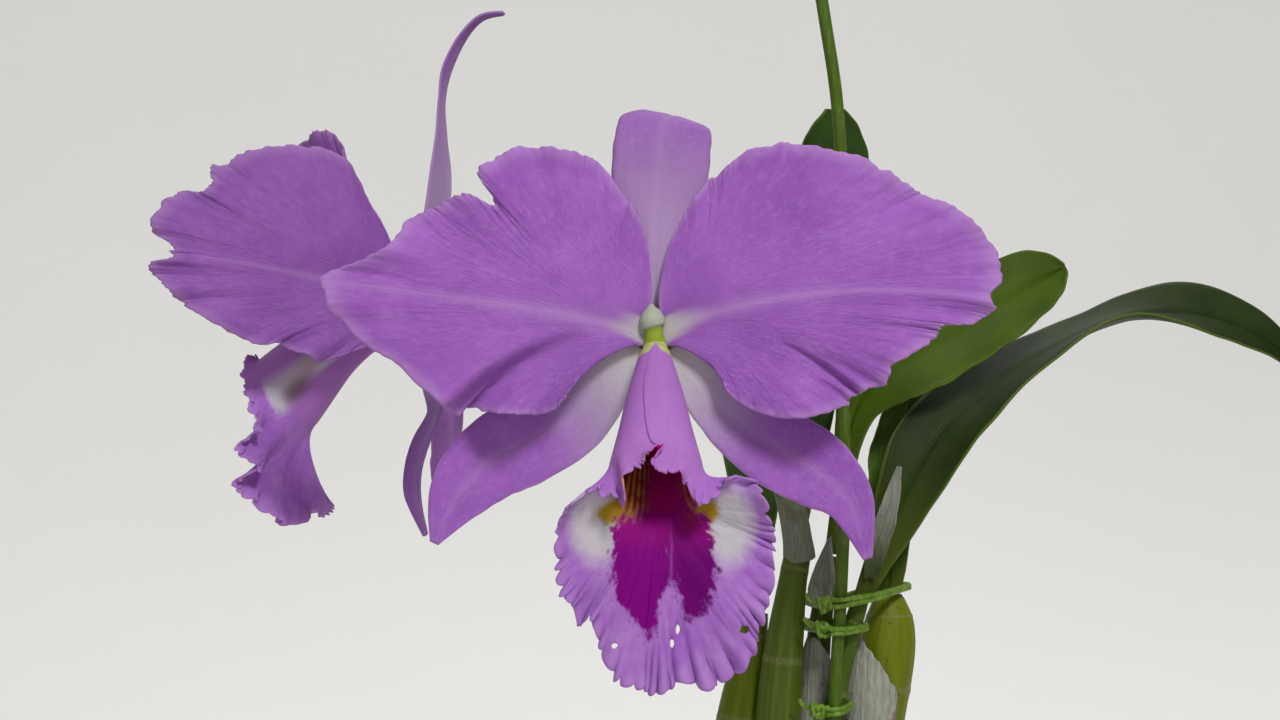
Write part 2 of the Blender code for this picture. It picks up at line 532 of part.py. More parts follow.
def sheaths():
    """The papery sheaths, each a little off the stem that it once wrapped."""
    sleeve("dry_sheath_olive_bulb",
           [(21.2, 5.3, 128, 5.4), (19.2, 5.8, 170, 7.0), (18.0, 5.6, 205, 8.4), (18.2, 5.0, 232, 9.6),
            (18.8, 4.4, 250, 10.4), (19.6, 4.0, 263, 8.6)],
           radians(150), (-0.75, -0.66, 0), 0.42)
    sleeve("dry_sheath_slim_bulb",
           [(1.4, 1.3, 128, 4.1), (1, 2, 180, 4.4), (1.6, 2, 220, 4.9), (2.4, 2, 240, 5.1), (2.9, 1.9, 252, 4.9),
            (3.4, 1.8, 262, 4.6)],
           radians(220), (-0.4, -0.9, 0), 0.25)
    sleeve("dry_sheath_bract",
           [(3.6, 2, 270, 4.4), (5.2, 1.8, 277, 4.1), (6.8, 1.6, 284, 3.6), (8.0, 1.4, 291, 2.6)],
           radians(130), (-0.5, -0.86, 0), 0.6, 6, 4)
    sleeve("flower_sheath",
           [(-2.8, -7.4, 292.5, 3.1), (-4.4, -9.4, 299.5, 3.5), (-8, -12, 309, 3.6), (-12.6, -14.1, 316.5, 3.3),
            (-16.4, -15.8, 322, 2.9)],
           radians(230), (-0.6, -0.6, 0.5), 0.35)
    route = [(17.0, -10.0, 279.6), (18.8, -11.8, 288), (22.0, -13.4, 299), (25.4, -13.8, 312)]
    old = strap_place(route, [1.6, 3.0, 2.8, 0.7], [(0.1, -1, 0), (0.1, -1, 0)], 0.45)
    sheet("old_flower_sheath", 7, 3, old, SHEATH_THICKNESS, DRY_SHEATH)


def hull(points):
    """The corners of the tightest loop round flat points, in order."""
    def half(ordered):
        kept = []
        for p in ordered:
            while len(kept) > 1:
                (ax, ay), (bx, by) = kept[-2], kept[-1]
                if (bx - ax) * (p[1] - ay) - (by - ay) * (p[0] - ax) > 0:
                    break
                kept.pop()
            kept.append(p)
        return kept[:-1]

    ordered = sorted(points)
    return half(ordered) + half(ordered[::-1])


def tie(name, stems, height, rise, knot):
    """A plastic tie: a loop pulled round stems (x, y, radius), and a knot with two short ends."""
    around = []
    for x, y, radius in stems:
        reach = radius + GAP + TIE_RADIUS
        around += [(x + reach * cos(i * pi / 6), y + reach * sin(i * pi / 6)) for i in range(12)]
    corners = hull(around)
    middle = sum(x for x, y in corners) / len(corners)
    loop = [(x, y, height + rise * (x - middle), TIE_RADIUS) for x, y in corners + corners[:1]]
    ring = solid_mesh(tube(name, loop, 18, STAKE_GREEN, sides=4, closed=True))
    x, y, z = knot
    ends = [
        tube(name + "_end", [(x - dx * 0.2, y - dy * 0.2, z - dz * 0.2, 1.3),
                             (x + dx * 0.4, y + dy * 0.5, z + dz * 0.6, TIE_RADIUS),
                             (x + dx, y + dy, z + dz, TIE_RADIUS)], 4, STAKE_GREEN, sides=4)
        for dx, dy, dz in ((-6.0, -2.5, 3.0), (2.0, -4.0, -4.5))]
    join(ring, [solid_mesh(end) for end in ends])
    ring.data.materials.clear()
    ring.data.materials.append(STAKE_GREEN)


def stake_and_ties():
    route = [(x, y, z, STAKE_RADIUS) for x, y, z in STAKE_ROUTE]
    tube("stake", route, 17, STAKE_GREEN)
    tie("tie_upper", [(8.6, -14, STAKE_RADIUS), (15.4, -8.2, 3.6), (24.7, 6.2, 4.4)], 275, -0.05,
        (4.8, -16.0, 275.6))
    tie("tie_middle", [(8.1, -14, STAKE_RADIUS), (12.4, -7.8, 3.1), (4.2, 2.0, 3.7)], 265.8, 0.0,
        (4.2, -15.6, 265.8))
    tie("tie_lower", [(6.8, -14, STAKE_RADIUS), (8.0, -7.5, 3.1)], 243, 0.1, (2.9, -15.0, 242.6))


RHIZOME_ROUTE = [
    (-31, 0), (-22, -2), (-9, -4.5), (2, 1), (8.5, -6.5), (22, 5), (33, 3)]

ROOTS = [
    [(-26, -2, 0), (-34, -12, 0.5), (-44, -16, 2), (-52, -12, 0)],
    [(-12, -5, 0), (-16, -18, 1), (-27, -30, 2), (-28, -42, 0)],
    [(4, -3, 0), (2, -22, 2), (12, -34, 0.5), (10, -47, 0)],
    [(20, 3, 0), (33, -9, 2), (38, -24, 1), (48, -28, 0)],
    [(-18, -2, 0), (-22, 14, 2), (-34, 24, 1), (-36, 38, 0)],
    [(12, 0, 0), (8, 18, 1), (16, 32, 2), (12, 46, 0)],
]


def rhizome():
    """The creeping rhizome, a short seat under each pseudobulb, and the roots that grew from it."""
    axis = [(x, y, RHIZOME_AXIS, RHIZOME_RADIUS) for x, y in RHIZOME_ROUTE]
    axis[0] = (*axis[0][:3], 3.0)
    axis[-1] = (*axis[-1][:3], 3.0)
    body = solid_mesh(tube("rhizome_with_roots", axis, 13, ROOT_WHITE, sides=8))
    grown = []
    for name, route in BULBS.items():
        x, y = route[0][:2]
        foot = [(x, y, RHIZOME_AXIS - 1, SEAT_RADIUS + 0.6), (x, y, SEAT_TOP, SEAT_RADIUS)]
        grown.append(solid_mesh(tube(name + "_seat", foot, 2, ROOT_WHITE, sides=6)))
    for i, route in enumerate(ROOTS):
        lying = [(x, y, BARK_TOP + GAP + ROOT_RADIUS + lift, ROOT_RADIUS) for x, y, lift in route]
        grown.append(solid_mesh(tube(f"root_{i + 1}", lying, 7, ROOT_WHITE, sides=6)))
    join(body, grown)
    body.data.materials.clear()
    body.data.materials.append(ROOT_WHITE)


def pot_and_bark():
    pot_inside_top = POT_SHOULDER_RADIUS - POT_WALL + 1.5
    pot_inside_foot = POT_FOOT_RADIUS - POT_WALL
    profile = [
        (0, POT_FLOOR), (pot_inside_foot, POT_FLOOR), (pot_inside_top, POT_HEIGHT - POT_RIM_DEPTH),
        (pot_inside_top + 2, POT_HEIGHT - 1.5), (pot_inside_top + 3.5, POT_HEIGHT), (POT_RIM_RADIUS - 1.5, POT_HEIGHT),
        (POT_RIM_RADIUS, POT_HEIGHT - 1.5), (POT_RIM_RADIUS - 1, POT_HEIGHT - POT_RIM_DEPTH),
        (POT_SHOULDER_RADIUS, POT_HEIGHT - POT_RIM_DEPTH - 1), (POT_FOOT_RADIUS, 0), (0, 0)]
    pot = turned("pot", profile, POT_SIDES, TERRACOTTA)
    for i in range(DRAIN_COUNT):
        turn = 2 * pi * (i + 0.5) / DRAIN_COUNT
        place = (DRAIN_RING * cos(turn), DRAIN_RING * sin(turn), POT_FLOOR / 2)
        drill(pot, f"drain_{i + 1}", place, DRAIN_RADIUS, POT_FLOOR * 3)

    slope = (pot_inside_top - pot_inside_foot) / (POT_HEIGHT - POT_RIM_DEPTH - POT_FLOOR)
    bark_rim = pot_inside_top + (BARK_TOP - (POT_HEIGHT - POT_RIM_DEPTH)) * 2 / (POT_RIM_DEPTH - 1.5)
    bark = turned("bark", [
        (0, BARK_TOP), (bark_rim - 2 * GAP, BARK_TOP), (pot_inside_top - 2 * GAP, POT_HEIGHT - POT_RIM_DEPTH),
        (pot_inside_foot - GAP + slope * GAP, POT_FLOOR + GAP), (0, POT_FLOOR + GAP)], POT_SIDES, BARK)
    bpy.context.view_layer.update()
    shown = bark.evaluated_get(bpy.context.evaluated_depsgraph_get())
    mesh = bpy.data.meshes.new_from_object(shown)
    bark.modifiers.clear()
    bark.data = mesh
    join(bark, bark_chips(bark_rim))
    drill(bark, "stake_hole", (STAKE_ROUTE[0][0], STAKE_ROUTE[0][1], STAKE_FOOT + 50), STAKE_RADIUS + GAP, 100)


def bark_chips(bark_rim):
    """Chips of bark, sunk in the top of the fill, clear of the stake, the rhizome and the roots."""
    draw = random.Random(BARK_SEED)
    kept_clear = [STAKE_ROUTE[0][:2]]
    kept_clear += [curve_at(RHIZOME_ROUTE, i / 20) for i in range(21)]
    for route in ROOTS:
        kept_clear += [curve_at(route, i / 12)[:2] for i in range(13)]
    chips = []
    tries = 0
    while len(chips) < BARK_CHIP_COUNT and tries < 4000:
        tries += 1
        reach = (bark_rim - 8) * draw.random() ** 0.5
        turn = 2 * pi * draw.random()
        x, y = reach * cos(turn), reach * sin(turn)
        length = BARK_CHIP * draw.uniform(0.45, 1.0)
        width = length * draw.uniform(0.5, 0.8)
        if any(hypot(x - px, y - py) < length * 0.6 + 3.0 for px, py in kept_clear):
            continue
        if reach + length * 0.6 > bark_rim - 1:
            continue
        bm = bmesh.new()
        bmesh.ops.create_cube(bm, size=MM)
        bmesh.ops.scale(bm, verts=bm.verts, vec=(length, width, length * 0.45))
        bmesh.ops.rotate(bm, verts=bm.verts, matrix=Matrix.Rotation(draw.uniform(-0.35, 0.35), 3, "X"))
        bmesh.ops.rotate(bm, verts=bm.verts, matrix=Matrix.Rotation(draw.uniform(-0.35, 0.35), 3, "Y"))
        bmesh.ops.rotate(bm, verts=bm.verts, matrix=Matrix.Rotation(draw.uniform(0, pi), 3, "Z"))
        bmesh.ops.translate(bm, verts=bm.verts, vec=Vector((x, y, BARK_TOP + draw.uniform(0.2, 1.6))) * MM)
        mesh = bpy.data.meshes.new("chip")
        bm.to_mesh(mesh)
        bm.free()
        chip = bpy.data.objects.new("chip", mesh)
        ORCHID.objects.link(chip)
        chips.append(chip)
    return chips


pot_and_bark()
rhizome()
plant()
sheaths()
stake_and_ties()
flower_1()
flower_2()
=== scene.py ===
"""The looks of a cattleya orchid in bloom, tied to a stake in a clay pot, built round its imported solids.

Lengths are in millimetres and become metres where a mesh is made. The origin is the middle of the pot's
underside. Flower 1 looks along -Y, and flower 2 looks along -X behind its shoulder.
"""
import random
from functools import cache
from math import cos, exp, hypot, pi, radians, sin, tanh

import bmesh
import bpy
from mathutils import Matrix, Vector, noise


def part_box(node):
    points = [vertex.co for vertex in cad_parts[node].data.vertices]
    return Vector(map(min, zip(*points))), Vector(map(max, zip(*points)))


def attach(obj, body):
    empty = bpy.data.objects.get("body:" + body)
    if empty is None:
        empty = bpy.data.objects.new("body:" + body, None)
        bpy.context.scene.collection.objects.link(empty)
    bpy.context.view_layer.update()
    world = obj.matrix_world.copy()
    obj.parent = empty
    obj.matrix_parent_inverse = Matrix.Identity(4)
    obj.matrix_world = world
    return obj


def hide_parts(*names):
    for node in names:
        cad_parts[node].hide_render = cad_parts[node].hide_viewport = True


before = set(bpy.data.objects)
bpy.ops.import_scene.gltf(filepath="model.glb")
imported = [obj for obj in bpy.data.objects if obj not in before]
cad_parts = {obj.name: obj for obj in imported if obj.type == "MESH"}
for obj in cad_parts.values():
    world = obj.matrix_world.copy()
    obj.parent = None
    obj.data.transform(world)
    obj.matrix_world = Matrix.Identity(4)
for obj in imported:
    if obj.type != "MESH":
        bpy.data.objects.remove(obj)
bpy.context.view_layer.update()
MM = 0.001


# The pot: terracotta, pressed and turned, fired without a glaze. It has a stout rim and four drain holes,
# and water that dried on it has left pale salts under the rim and at the foot.
POT_RIM_RADIUS, _, POT_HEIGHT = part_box("pot")[1] / MM
POT_RIM_DEPTH = 20.0
POT_SHOULDER_RADIUS = 64.0
POT_FOOT_RADIUS = 47.0
POT_WALL = 5.0
POT_FLOOR = 6.0
DRAIN_RADIUS = 5.0
DRAIN_RING = 24.0
TERRACOTTA_RED = (0.47, 0.17, 0.075, 1)
TERRACOTTA_PALE = (0.62, 0.30, 0.16, 1)
TERRACOTTA_DARK = (0.30, 0.10, 0.05, 1)
SALT_WHITE = (0.66, 0.58, 0.50, 1)


class Wire:
    """A socket of a material's nodes. Sums with it add Math nodes, so that a pattern reads as a formula."""

    def __init__(self, socket):
        self.socket = socket

    def add(self, kind, settings=None, sockets=None, output=0):
        """Another node in the same material: its settings first, then the values or wires of its sockets."""
        tree = self.socket.id_data
        made = tree.nodes.new(kind)
        for name, value in (settings or {}).items():
            setattr(made, name, value)
        for name, value in (sockets or {}).items():
            if isinstance(value, Wire):
                tree.links.new(value.socket, made.inputs[name])
            else:
                made.inputs[name].default_value = value
        return Wire(made.outputs[output])

    def other(self, output):
        return Wire(self.socket.node.outputs[output])

    def math(self, operation, *values):
        return self.add("ShaderNodeMath", {"operation": operation}, dict(enumerate((self, *values))))

    def __add__(self, value):
        return self.math("ADD", value)

    __radd__ = __add__

    def __mul__(self, value):
        return self.math("MULTIPLY", value)

    __rmul__ = __mul__

    def __sub__(self, value):
        return self.math("SUBTRACT", value)

    def __rsub__(self, value):
        return self.math("MULTIPLY", -1.0) + value

    def __pow__(self, value):
        return self.math("POWER", value)

    def __abs__(self):
        return self.math("ABSOLUTE")

    def most(self, value):
        return self.math("MAXIMUM", value)

    def grown(self, low, high):
        """0 below low, 1 above high, and a smooth step between them. low may be the larger one."""
        if low > high:
            return 1 - self.grown(high, low)
        return self.add("ShaderNodeMapRange", {"interpolation_type": "SMOOTHSTEP"},
                        {"Value": self, "From Min": low, "From Max": high})

    def tint(self, low, high):
        """The colour low where this is 0 and high where it is 1."""
        return self.add("ShaderNodeMix", {"data_type": "RGBA"}, {0: self, 6: low, 7: high}, 2)

    def noise(self, scale, detail=3.0, rough=0.5, stretch=None):
        """Noise over these coordinates, with about scale features in each unit of them."""
        place = self
        if stretch:
            place = self.add("ShaderNodeMapping", {}, {"Vector": self, "Scale": stretch})
        return place.add("ShaderNodeTexNoise", {}, {
            "Vector": place, "Scale": scale, "Detail": detail, "Roughness": rough})

    def clouds(self, size, detail=3.0, rough=0.5, stretch=None):
        """Noise over a place in metres, its features about size millimetres across."""
        return self.noise(1 / (size * MM), detail, rough, stretch)

    def ridges(self, count, sharp):
        """Narrow lines, count of them for each unit of this value."""
        return ((self * count).math("PINGPONG", 0.5) * 2) ** sharp

    def carried(self, name):
        """A value that the piece's own points carry."""
        return self.add("ShaderNodeAttribute", {"attribute_name": name}, {}, "Fac")

    def mapped(self, name):
        """The piece's own map, and the two ways over it."""
        where = self.add("ShaderNodeUVMap", {"uv_map": name})
        split = where.add("ShaderNodeSeparateXYZ", {}, {"Vector": where})
        return where, split, split.other("Y")


def new_finish(name, **constants):
    """A material with its constants on its shader's own sockets, and the wire of its Object coordinates."""
    made = bpy.data.materials.new(name)
    made.use_nodes = True
    shader = made.node_tree.nodes["Principled BSDF"]
    for socket, value in constants.items():
        shader.inputs[socket.replace("_", " ")].default_value = value
    place = made.node_tree.nodes.new("ShaderNodeTexCoord")
    return made, Wire(place.outputs["Object"])


def wear(finish, colour, roughness=None, height=None, depth=0.1):
    """Feed a material's shader: its colour, its roughness, and a height in units of depth millimetres."""
    tree = finish.node_tree
    shader = tree.nodes["Principled BSDF"]
    tree.links.new(colour.socket, shader.inputs["Base Color"])
    if roughness:
        tree.links.new(roughness.socket, shader.inputs["Roughness"])
    if height:
        bump = height.add("ShaderNodeBump", {}, {"Height": height, "Distance": depth * MM, "Strength": 1.0})
        tree.links.new(bump.socket, shader.inputs["Normal"])
    return finish


def turned(profile, steps):
    """A solid turned about Z from (radius, height) points."""
    bm = bmesh.new()
    verts = [bm.verts.new((radius * MM, 0.0, height * MM)) for radius, height in profile]
    edges = [bm.edges.new(pair) for pair in zip(verts, verts[1:])]
    bmesh.ops.spin(bm, geom=verts + edges, axis=(0, 0, 1), cent=(0, 0, 0), angle=2 * pi, steps=steps,
                   use_merge=True)
    bmesh.ops.remove_doubles(bm, verts=bm.verts, dist=0.01 * MM)
    bmesh.ops.recalc_face_normals(bm, faces=bm.faces)
    return bm


def finished(name, bm, finish, smooth=True):
    """Close a bmesh into an object with its finish."""
    mesh = bpy.data.meshes.new(name)
    bm.to_mesh(mesh)
    bm.free()
    if smooth:
        mesh.shade_smooth()
    mesh.materials.append(finish)
    piece = bpy.data.objects.new(name, mesh)
    bpy.context.scene.collection.objects.link(piece)
    return piece


def drilled(piece, holes, depth):
    """Cut upright round holes (x, y, z, radius) through a piece, and keep the cut mesh as its own."""
    bm = bmesh.new()
    for x, y, z, radius in holes:
        bmesh.ops.create_cone(bm, cap_ends=True, segments=40, radius1=radius * MM, radius2=radius * MM,
                              depth=depth * MM, matrix=Matrix.Translation(Vector((x, y, z)) * MM))
    cutter = finished("cutter", bm, piece.data.materials[0])
    cut = piece.modifiers.new("Holes", "BOOLEAN")
    cut.operation = "DIFFERENCE"
    cut.object = cutter
    bpy.context.view_layer.update()
    shown = piece.evaluated_get(bpy.context.evaluated_depsgraph_get())
    mesh = bpy.data.meshes.new_from_object(shown)
    piece.modifiers.clear()
    piece.data = mesh
    bpy.data.objects.remove(cutter)


def stands_for(piece, node):
    """A piece of the plant, all of which is one body, that is shown in place of its solid."""
    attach(piece, "root")
    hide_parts(node)


def shown(name, bm, finish, slot, node, smooth=True):
    """Turn a bmesh's faces outwards, close it into an object, and show that in place of its solid."""
    bmesh.ops.recalc_face_normals(bm, faces=bm.faces)
    stands_for(finished(name, bm, finish, smooth), node)


pot_inside_top = POT_SHOULDER_RADIUS - POT_WALL + 1.5
pot_inside_foot = POT_FOOT_RADIUS - POT_WALL
rim_low = POT_HEIGHT - POT_RIM_DEPTH
bm = turned([
    (0, POT_FLOOR), (pot_inside_foot, POT_FLOOR), (pot_inside_top, rim_low),
    (pot_inside_top + 2.5, POT_HEIGHT), (POT_RIM_RADIUS, POT_HEIGHT), (POT_RIM_RADIUS - 1, rim_low + 0.5),
    (POT_SHOULDER_RADIUS + 0.2, rim_low - 1), (POT_SHOULDER_RADIUS - 1.0, rim_low - 6),
    (POT_FOOT_RADIUS, 0), (0, 0)], 112)
corners = [edge for edge in bm.edges if len(edge.link_faces) == 2 and edge.calc_face_angle() > radians(24)
           and abs(edge.verts[0].co.z - edge.verts[1].co.z) < 0.01 * MM]
bmesh.ops.bevel(bm, geom=corners, offset=1.3 * MM, offset_type="OFFSET", segments=4, profile=0.5,
                affect="EDGES", material=-1)

terracotta, place = new_finish("terracotta", Metallic=0.0)
height = place.add("ShaderNodeSeparateXYZ", {}, {"Vector": place}, "Z")
mottle = place.clouds(28, 4, 0.6)
grain = place.clouds(0.9, 4, 0.7)
turning = place.clouds(3.0, 3, 0.6, (0.04, 0.04, 1.0))
under_rim = height.grown(0.074, 0.092) * height.grown(0.1, 0.088)
at_foot = height.grown(0.022, 0.0)
salt = (under_rim * 0.55 + at_foot * 0.8 + place.clouds(45) * 0.35 + place.clouds(5) * 0.3).grown(0.62, 1.05)
colour = mottle.grown(0.35, 0.7).tint(TERRACOTTA_RED, TERRACOTTA_PALE)
colour = (grain.grown(0.55, 0.75) * 0.5).tint(colour, TERRACOTTA_DARK)
colour = (salt * (grain * 0.6 + 0.5)).tint(colour, SALT_WHITE)
wear(terracotta, colour, grain * 0.15 + salt * 0.1 + 0.72, grain * 0.35 + turning * 1.2 + salt * 0.2, 0.3)
pot = finished("pot_terracotta", bm, terracotta)
drains = [(DRAIN_RING * cos(turn), DRAIN_RING * sin(turn), POT_FLOOR / 2, DRAIN_RADIUS)
          for turn in (pi / 4, 3 * pi / 4, 5 * pi / 4, 7 * pi / 4)]
drilled(pot, drains, 3 * POT_FLOOR)
pot.data.set_sharp_from_angle(angle=radians(40))
stands_for(pot, "pot")


# The growing medium: chips of conifer bark, broken rather than cut, packed dark and damp below and dried
# paler on top. The chips lie clear of the stake, the rhizome and the roots that creep over them.
BARK_TOP = 102.0
BARK_FLOOR = 6.3
BARK_SEED = 11
CHIP_COUNT = 420
CHIP_LENGTH = (6.0, 15.0)
STAKE_X, STAKE_Y, STAKE_FOOT = 7.2, -14.5, 44.3
STAKE_HOLE_RADIUS = 2.1
STAKE_HOLE_DEPTH = 100.0
STAKE_CLEARANCE = 3.0
RHIZOME_CLEARANCE = 5.4
ROOT_CLEARANCE = 2.2
RHIZOME_ROUTE = [(-31, 0), (-22, -2), (-9, -4.5), (2, 1), (8.5, -6.5), (22, 5), (33, 3)]
ROOTS = [
    [(-26, -2, 0), (-34, -12, 0.5), (-44, -16, 2), (-52, -12, 0)],
    [(-12, -5, 0), (-16, -18, 1), (-27, -30, 2), (-28, -42, 0)],
    [(4, -3, 0), (2, -22, 2), (12, -34, 0.5), (10, -47, 0)],
    [(20, 3, 0), (33, -9, 2), (38, -24, 1), (48, -28, 0)],
    [(-18, -2, 0), (-22, 14, 2), (-34, 24, 1), (-36, 38, 0)],
    [(12, 0, 0), (8, 18, 1), (16, 32, 2), (12, 46, 0)]]
BARK_BROWN = (0.17, 0.075, 0.035, 1)
BARK_DRY = (0.36, 0.20, 0.11, 1)
BARK_DAMP = (0.045, 0.022, 0.014, 1)


def curve_at(points, t):
    """The place at t, 0 to 1, on a smooth curve through points that may also carry a radius."""
    span = t * (len(points) - 1)
    i = min(int(span), len(points) - 2)
    s = span - i
    four = (points[max(i - 1, 0)], points[i], points[i + 1], points[min(i + 2, len(points) - 1)])
    return [
        0.5 * (2 * b + (c - a) * s + (2 * a - 5 * b + 4 * c - d) * s ** 2 + (3 * b - a - 3 * c + d) * s ** 3)
        for a, b, c, d in zip(*four)
    ]


fill_rim = pot_inside_top + (BARK_TOP - rim_low) * 2 / (POT_RIM_DEPTH - 1.5)
bm = turned([
    (0, BARK_TOP), (fill_rim - 0.6, BARK_TOP), (pot_inside_top - 0.6, rim_low),
    (pot_inside_foot - 0.2, BARK_FLOOR), (0, BARK_FLOOR)], 72)
bark, place = new_finish("conifer_bark", Metallic=0.0)
shade = place.carried("shade")
layers = place.clouds(4.0, 5, 0.65, (1.0, 1.0, 3.5))
flakes = place.clouds(0.8, 5, 0.7)
dry = (shade * 0.8 + layers * 0.6).grown(0.45, 1.05)
colour = dry.tint(BARK_BROWN, BARK_DRY)
colour = flakes.grown(0.58, 0.4).tint(colour, BARK_DAMP)
wear(bark, colour, dry * 0.1 + 0.8, layers * 1.0 + flakes * 0.6, 0.9)
fill = finished("bark_fill", bm, bark, smooth=False)
drilled(fill, [(STAKE_X, STAKE_Y, STAKE_FOOT + STAKE_HOLE_DEPTH / 2, STAKE_HOLE_RADIUS)], STAKE_HOLE_DEPTH)
stands_for(fill, "bark")

draw = random.Random(BARK_SEED)
kept_clear = [(STAKE_X, STAKE_Y, STAKE_CLEARANCE)]
kept_clear += [(*curve_at(RHIZOME_ROUTE, i / 24), RHIZOME_CLEARANCE) for i in range(25)]
for route in ROOTS:
    kept_clear += [(*curve_at(route, i / 16)[:2], ROOT_CLEARANCE) for i in range(17)]
bm = bmesh.new()
shade = bm.verts.layers.float.new("shade")
laid = 0
while laid < CHIP_COUNT:
    reach = (fill_rim - 4) * draw.random() ** 0.5
    turn = draw.uniform(0, 2 * pi)
    length = draw.uniform(*CHIP_LENGTH)
    x, y = reach * cos(turn), reach * sin(turn)
    crowd = min(hypot(x - px, y - py) - gap for px, py, gap in kept_clear)
    length = min(length, 2.2 * crowd, 2.2 * (fill_rim - reach))
    if length < 3.5:
        continue
    before = len(bm.verts)
    corners = bmesh.ops.create_cube(bm, size=1.0)["verts"]
    edges = list({edge for vert in corners for edge in vert.link_edges})
    bmesh.ops.subdivide_edges(bm, edges=edges, cuts=1, use_grid_fill=True)
    chip = list(bm.verts)[before:]
    lightness = draw.random()
    for vert in chip:
        vert[shade] = lightness
        vert.co += Vector((draw.uniform(-1, 1), draw.uniform(-1, 1), draw.uniform(-1, 1))) * 0.13
    size = Vector((length, length * draw.uniform(0.45, 0.8), length * draw.uniform(0.2, 0.42)))
    bmesh.ops.scale(bm, verts=chip, vec=size * MM)
    for axis, tilt in (("X", 0.4), ("Y", 0.4), ("Z", pi)):
        turn = Matrix.Rotation(draw.uniform(-tilt, tilt), 3, axis)
        bmesh.ops.rotate(bm, verts=chip, cent=(0, 0, 0), matrix=turn)
    bmesh.ops.translate(bm, verts=chip, vec=Vector((x, y, BARK_TOP + draw.uniform(-0.4, 2.6))) * MM)
    laid += 1
shown("bark_chips", bm, bark, "bark", "bark", smooth=False)


# The rhizome: a woody stem that creeps over the bark, one short step for each pseudobulb, wrapped in the
# remains of brown scales. From it grow the roots, in a spongy grey-white skin.
RHIZOME_AXIS = 106.9
RHIZOME_RADIUS = 4.6
RHIZOME_TIP_RADIUS = 2.4
SEAT_TOP = 113.5
ROOT_RADIUS = 1.7
ROOT_WHITE = (0.52, 0.53, 0.44, 1)
ROOT_GREEN = (0.22, 0.30, 0.12, 1)
SCALE_BROWN = (0.20, 0.12, 0.06, 1)
BULB_FEET = [(22, 5), (-9, -4.5), (-22, -2), (2, 1), (8.5, -6.5)]


def point_at(points, t):
    return Vector(curve_at(points, t)[:3])


def direction_at(points, t):
    step = 0.01
    return (point_at(points, min(t + step, 1.0)) - point_at(points, max(t - step, 0.0))).normalized()


def mapped(bm, name, verts):
    """Give the faces of a flat grid their own map, 0 to 1 both ways."""
    layer = bm.loops.layers.uv.get(name) or bm.loops.layers.uv.new(name)
    for face in {face for vert in verts for face in vert.link_faces}:
        for loop in face.loops:
            loop[layer].uv = (loop.vert.co.x + 0.5, loop.vert.co.y + 0.5)


def sweep(bm, route, samples, sides, facing, swell=None):
    """Add a closed round stem along route (x, y, z, radius). swell(a, turn) may change its radius."""
    grid = bmesh.ops.create_grid(bm, x_segments=samples + 2, y_segments=sides, size=0.5)["verts"]
    mapped(bm, "stem", grid)
    facing = Vector(facing)

    @cache
    def ring(row):
        a = min(max((row - 1) / samples, 0.0), 1.0)
        *centre, radius = curve_at(route, a)
        along = direction_at(route, a)
        front = (facing - along * facing.dot(along)).normalized()
        return a, Vector(centre), radius, front, along.cross(front)

    for vert in grid:
        row = round((vert.co.x + 0.5) * (samples + 2))
        turn = 2 * pi * (vert.co.y + 0.5)
        a, centre, radius, front, side = ring(row)
        if swell:
            radius *= swell(a, turn)
        if row in (0, samples + 2):
            radius = 0.0
        vert.co = (centre + front * (radius * cos(turn)) + side * (radius * sin(turn))) * MM
    bmesh.ops.remove_doubles(bm, verts=grid, dist=0.002 * MM)


def stem_finish(name, low, high, young, **constants):
    """Skin of a stem: low and high mixed in streaks along it, and young towards its far end."""
    made, place = new_finish(name, **constants)
    where, along, _ = place.mapped("stem")
    streaks = where.noise(2.0, 4.0, 0.5, (2.0, 14.0, 1.0))
    specks = place.clouds(0.7, 3, 0.6)
    colour = streaks.grown(0.35, 0.68).tint(low, high)
    colour = along.grown(0.72, 1.0).tint(colour, young)
    return made, place, along, streaks, specks, colour


roots_skin, place, along, streaks, specks, colour = stem_finish(
    "root_skin", ROOT_WHITE, ROOT_GREEN, ROOT_WHITE, Roughness=0.85)
stains = place.clouds(9, 4, 0.65).grown(0.56, 0.68)
colour = (stains * 0.7).tint(colour, SCALE_BROWN)
wear(roots_skin, colour, None, specks * 0.6 + streaks * 0.6 + stains * 0.4, 0.35)
bm = bmesh.new()
axis = [(x, y, RHIZOME_AXIS, RHIZOME_RADIUS) for x, y in RHIZOME_ROUTE]
for end in (0, -1):
    axis[end] = (*axis[end][:3], RHIZOME_TIP_RADIUS)
sweep(bm, axis, 120, 36, (0, 0, 1),
      lambda a, turn: 1 + 0.07 * abs(sin(pi * 17 * a)) ** 6 + 0.02 * sin(9 * turn))
for x, y in BULB_FEET:
    foot = [(x, y, RHIZOME_AXIS - 1, 4.4), (x, y, RHIZOME_AXIS + 2.5, 3.9), (x, y, SEAT_TOP, 3.4)]
    sweep(bm, foot, 12, 32, (0, -1, 0), lambda a, turn: 1 + 0.03 * sin(11 * turn))
for i, route in enumerate(ROOTS):
    lying = [(x, y, BARK_TOP + 0.3 + ROOT_RADIUS + lift, ROOT_RADIUS) for x, y, lift in route]
    lying[-1] = (*lying[-1][:3], ROOT_RADIUS * 0.8)
    sweep(bm, lying, 56, 18, (0, 0, 1),
          lambda a, turn: 1 + 0.16 * noise.noise(Vector((9 * a, i, 0.3 * turn))))
shown("rhizome_and_roots", bm, roots_skin, "rhizome_and_roots", "rhizome_with_roots")


